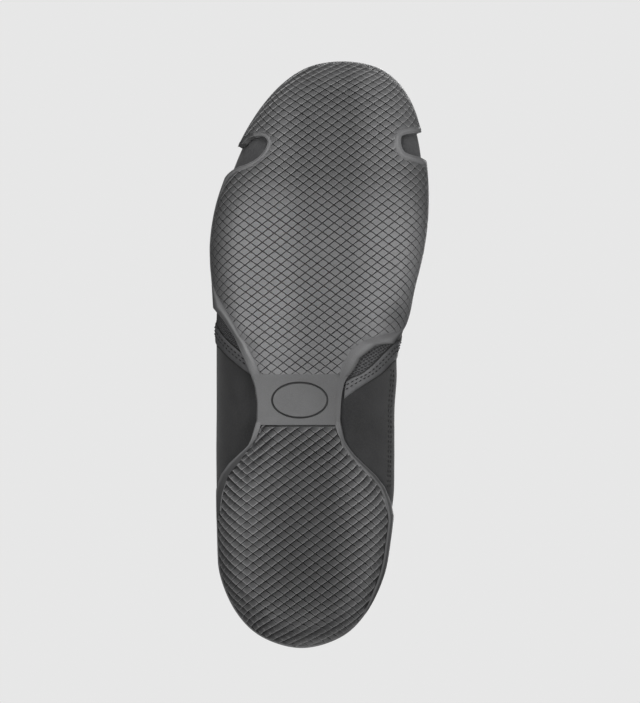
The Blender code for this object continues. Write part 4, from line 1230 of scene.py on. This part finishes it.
def buildEyestay(stitches):
    places = np.linspace(overlay["stayEnd"], loop - overlay["stayEnd"], overlay["stayColumns"])
    low, high = overlay["stayLevels"]
    rows = [skin(places, low + (high - low) * (share + 1) / 2, offset)
            for share, offset in overlay["section"]]
    bm = capEnds(sheet(rows + rows[:1]))
    makePiece("eyestay_facing", bm, [strapLeather], ["eyestay"], crisp=45)
    for share in overlay["stayStitches"]:
        stitchRow(stitches, places, low + (high - low) * share, overlay["stayTop"])


def buildSeams(stitches):  # the row of stitches low on the medial quarter
    places = np.linspace(*seam["places"], seam["columns"])
    level = np.interp(places, *np.transpose(seam["levels"]))
    for shift in seam["shifts"]:
        stitchRow(stitches, places, level + shift, 0.0)


stitches = bmesh.new()
buildStrips(stitches)
buildEyestay(stitches)
buildSeams(stitches)
makePiece("stitches", stitches, [thread], crisp=80)
print("strips and eyestay built")

# Tongue, collar binding, eyelets and lace
tongue = {"run": (8.0, 18.8), "rows": 60, "margin": (1.82, 1.86, 1.90, 1.945, 1.985), "gap": 0.9, "wall": 3.2,
          "crown": 1.6, "arch": (0.25, 0.5, 0.75), "lean": math.radians(8),
          "proud": ((15.0, 0.35), (13.8, 0.6), (11.0, 0.78), (7.0, 0.9), (3.0, 0.97))}  # rise, share of width


def tongueRows(depth):
    places = np.linspace(*tongue["run"], tongue["rows"])
    medial = [skin(places, level, -depth) for level in tongue["margin"]]
    lateral = [skin(loop - places, level, -depth) for level in tongue["margin"]]
    edge = tongue["margin"][-1]
    crown = unit(wallNormal(places, edge) + wallNormal(loop - places, edge))
    arch = []
    for share in tongue["arch"]:
        swell = tongue["crown"] * 4 * share * (1 - share)
        arch.append(medial[-1] * (1 - share) + lateral[-1] * share + swell * crown)
    rows = list(np.stack(medial + arch + lateral[::-1], axis=1))
    middle = arch[1][0]
    rise = np.array([-math.sin(tongue["lean"]), 0.0, math.cos(tongue["lean"])])
    return [middle + (rows[0] - middle) * narrow + rise * step for step, narrow in tongue["proud"]] + rows


def buildTongue():
    outer = np.array(tongueRows(last["wall"] + tongue["gap"]))
    inner = np.array(tongueRows(last["wall"] + tongue["gap"] + tongue["wall"]))
    rows = np.concatenate([outer, inner[:, ::-1], outer[:, :1]], axis=1)
    piece = makePiece("tongue_pad", capEnds(sheet(rows)), [lining], ["tongue"], crisp=60)


buildTongue()

binding = {"radius": 1.5, "columns": 200, "sides": 12, "ends": 8, "droop": 1.45}


def buildBinding():
    places = np.linspace(loop - binding["ends"], loop + binding["ends"], binding["columns"])
    normal = wallNormal(places, 2.0)
    edge = wallPoint(places, 2.0) - normal * last["wall"] / 2
    edge[:, 2] += binding["radius"] + 2 * last["gap"]
    up = np.array([0.0, 0.0, 1.0])
    rows = []
    for turn in np.linspace(0, math.tau, binding["sides"] + 1):
        drop = binding["droop"] if math.sin(turn) < 0 else 1.0
        rows.append(edge + binding["radius"] * (normal * math.cos(turn) + up * math.sin(turn) * drop))
    makePiece("collar_bead", capEnds(sheet(rows)), [strapLeather], ["collar_binding"], crisp=60)


buildBinding()

lacing = {"pairs": 7, "run": (9.0, 16.6), "search": (8, 19), "level": 1.91, "facing": (1.82, 2.0),
          "ring": 3.1, "wire": 0.75, "ringSteps": 24, "seat": 1.35,
          "lace": 1.35, "wide": 1.25, "flat": 0.8, "sides": 10, "courseSteps": 48, "tilt": (0.0, 0.3, 1.0),
          "end": 3.4, "dip": 4.0, "edge": 0.17, "edgeLift": 3.6, "middleLift": 3.7, "over": 2.2, "apart": 1.1}


def eyeletPlaces(shift=0.0):
    fine = np.linspace(*lacing["search"], last["fineSteps"])
    run = runLength(wallPoint(fine, lacing["level"]))
    first, final = np.interp(lacing["run"], fine, run)
    return np.interp(np.linspace(first, final, lacing["pairs"]) + shift, run, fine)


def facingFrame(place, side):
    s = np.array([place if side > 0 else loop - place])
    low, high = (wallPoint(s, level)[0] for level in lacing["facing"])
    across = wallPoint(s + last["step"], lacing["level"]) - wallPoint(s - last["step"], lacing["level"])
    return (low + high) / 2, unit(np.cross(high - low, across[0]))


def buildEyelets():
    bm = bmesh.new()
    for side in (1, -1):
        for place in eyeletPlaces():
            centre, normal = facingFrame(place, side)
            turn = Vector(normal).to_track_quat("Z", "Y").to_matrix().to_4x4()
            ring = hoop(lacing["ring"], lacing["wire"], lacing["ringSteps"])
            seat = Matrix.Translation(Vector(centre + normal * lacing["seat"])) @ turn
            bmesh.ops.transform(ring, matrix=seat, verts=ring.verts)
            joinInto(bm, ring)
    names = [f"eyelet_{side}_{number}" for side in ("medial", "lateral") for number in range(1, 8)]
    makePiece("eyelet_rings", bm, [blackPaint], names)


def laceTube(points):
    run = unit(np.gradient(points, axis=0))
    side = unit(np.cross(run, lacing["tilt"]))
    up = np.cross(side, run)
    rows = []
    for turn in np.linspace(0, math.tau, lacing["sides"] + 1):
        out = side * math.cos(turn) * lacing["wide"] + up * math.sin(turn) * lacing["flat"]
        rows.append(points + lacing["lace"] * out)
    return capEnds(sheet(rows))


def smoothCourse(points, count, times=6):  # rounds the corners of a course
    points = resample(points, count)
    for _ in range(times):
        points[1:-1] = (points[:-2] + 2 * points[1:-1] + points[2:]) / 4
    return points


def laceCourse(place, following, side, over=0.0):
    half = (place + following) / 2
    edge = (following - place) * lacing["edge"]

    def end(at, which):
        centre, normal = facingFrame(at, which)
        top = centre + normal * lacing["end"]
        return top, top - normal * lacing["dip"]

    def brink(at, which, lift):
        return skin(np.array([at if which > 0 else loop - at]), 2.0, lift)[0]

    first, firstDip = end(place, side)
    final, finalDip = end(following, -side)
    middle = sum(brink(half, which, lacing["middleLift"] + over) for which in (1, -1)) / 2
    return [firstDip, first, brink(place + edge, side, lacing["edgeLift"]), middle,
            brink(following - edge, -side, lacing["edgeLift"]), final, finalDip]


def buildLace():
    low, high = (eyeletPlaces(shift)[::-1] for shift in (lacing["apart"], -lacing["apart"]))
    courses = [laceCourse(low[0], low[0], 1)]
    for ends in zip(high, low[1:]):
        courses += [laceCourse(*ends, 1), laceCourse(*ends, -1, lacing["over"])]
    bm = bmesh.new()
    for course in courses:
        joinInto(bm, laceTube(smoothCourse(course, lacing["courseSteps"])))
    names = ["lace_bar"] + [f"lace_cross_{number}" for number in range(1, 7)]
    makePiece("lace", bm, [laceCloth], names, crisp=70)


buildEyelets()
buildLace()
bed = frame["nodes"]["insole"].data
bed.materials.clear()
bed.materials.append(lining)
print("tongue, collar, eyelets and lace built")

# Camera square to the sole, toe up in the picture; pale floor and soft light
view = {"middle": (145.5, 7.35, 4.0), "away": 2400.0, "tall": 340.4, "lit": (145, 5, 0),
        "lightUp": (0.1, 0.2, 1.0), "ambient": 0.12}


def aim(item, place, target, up):
    back = (place - target).normalized()
    right = up.cross(back).normalized()
    turn = Matrix((right, back.cross(right), back)).transposed().to_4x4()
    item.matrix_world = Matrix.Translation(place) @ turn


def buildCamera():
    data = bpy.data.cameras.new("camera")
    data.sensor_fit, data.sensor_height, data.sensor_width = "VERTICAL", 24.0, 24.0
    data.lens = data.sensor_height * view["away"] / view["tall"]
    camera = newObject("camera", data)
    x, y, z = view["middle"]
    toeward = (toWorld.to_3x3() @ Vector((1, 0, 0))).normalized()
    aim(camera, shoeSpot(x, y, z - view["away"]), shoeSpot(x, y, z), toeward)
    scene.camera = camera


stage = {"wide": 8.0, "near": -4.0, "far": 2.2, "bend": 1.0, "tall": 4.0, "colour": 0.0, "glow": 0.80}


def buildStage():
    bm = bmesh.new()
    bmesh.ops.create_grid(bm, x_segments=1, y_segments=40, size=1.0)
    straight = stage["far"] - stage["near"]
    arc = stage["bend"] * math.pi / 2
    for vert in bm.verts:
        run = (vert.co.y + 1) / 2 * (straight + arc + stage["tall"])
        turn = min(max(run - straight, 0) / stage["bend"], math.pi / 2)
        y = stage["near"] + min(run, straight) + stage["bend"] * math.sin(turn)
        z = stage["bend"] * (1 - math.cos(turn)) + max(run - straight - arc, 0)
        vert.co = (vert.co.x * stage["wide"] / 2, y, z)
    mesh = meshFrom("floor", bm)
    mesh.shade_smooth()
    material, _, shader, _ = startMaterial("paleFloor", 0.9)
    setInputs(shader, {"Base Color": (stage["colour"],) * 3 + (1.0,), "Specular IOR Level": 0.0,
                       "Emission Color": (1.0, 1.0, 1.0, 1.0), "Emission Strength": stage["glow"]})
    mesh.materials.append(material)
    floor = newObject("floor", mesh)
    floor.visible_shadow = floor.visible_diffuse = floor.visible_glossy = False
    floor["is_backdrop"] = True


lights = {
    "left": {"spot": (200, -480, -1550), "size": 700, "power": 18.5},
    "right": {"spot": (200, 1000, -1250), "size": 700, "power": 15.5},
    "toe": {"spot": (1000, 40, -1300), "size": 700, "power": 9.0},
    "behind": {"spot": (500, 300, 1700), "size": 1200, "power": 30.0},
    "heel": {"spot": (-1700, 0, 500), "size": 1200, "power": 16.0},
}


def buildLights():
    for name, light in lights.items():
        data = bpy.data.lights.new(name, "AREA")
        data.shape, data.size, data.energy = "DISK", light["size"] * mm, light["power"]
        item = newObject(name, data)
        aim(item, shoeSpot(*light["spot"]), shoeSpot(*view["lit"]), Vector(view["lightUp"]).normalized())
    world = bpy.data.worlds.new("studio")
    scene.world = world
    world.use_nodes = True
    background = world.node_tree.nodes["Background"]
    setInputs(background, {"Color": (1.0, 1.0, 1.0, 1.0), "Strength": view["ambient"]})


buildCamera()
buildStage()
buildLights()
print("camera, floor and lights set")


def corners(bounds):
    return [[round(float(value), 6) for value in corner] for corner in bounds]


bpy.context.view_layer.update()
{"cad": corners(cadBounds), "visual": corners(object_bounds())}
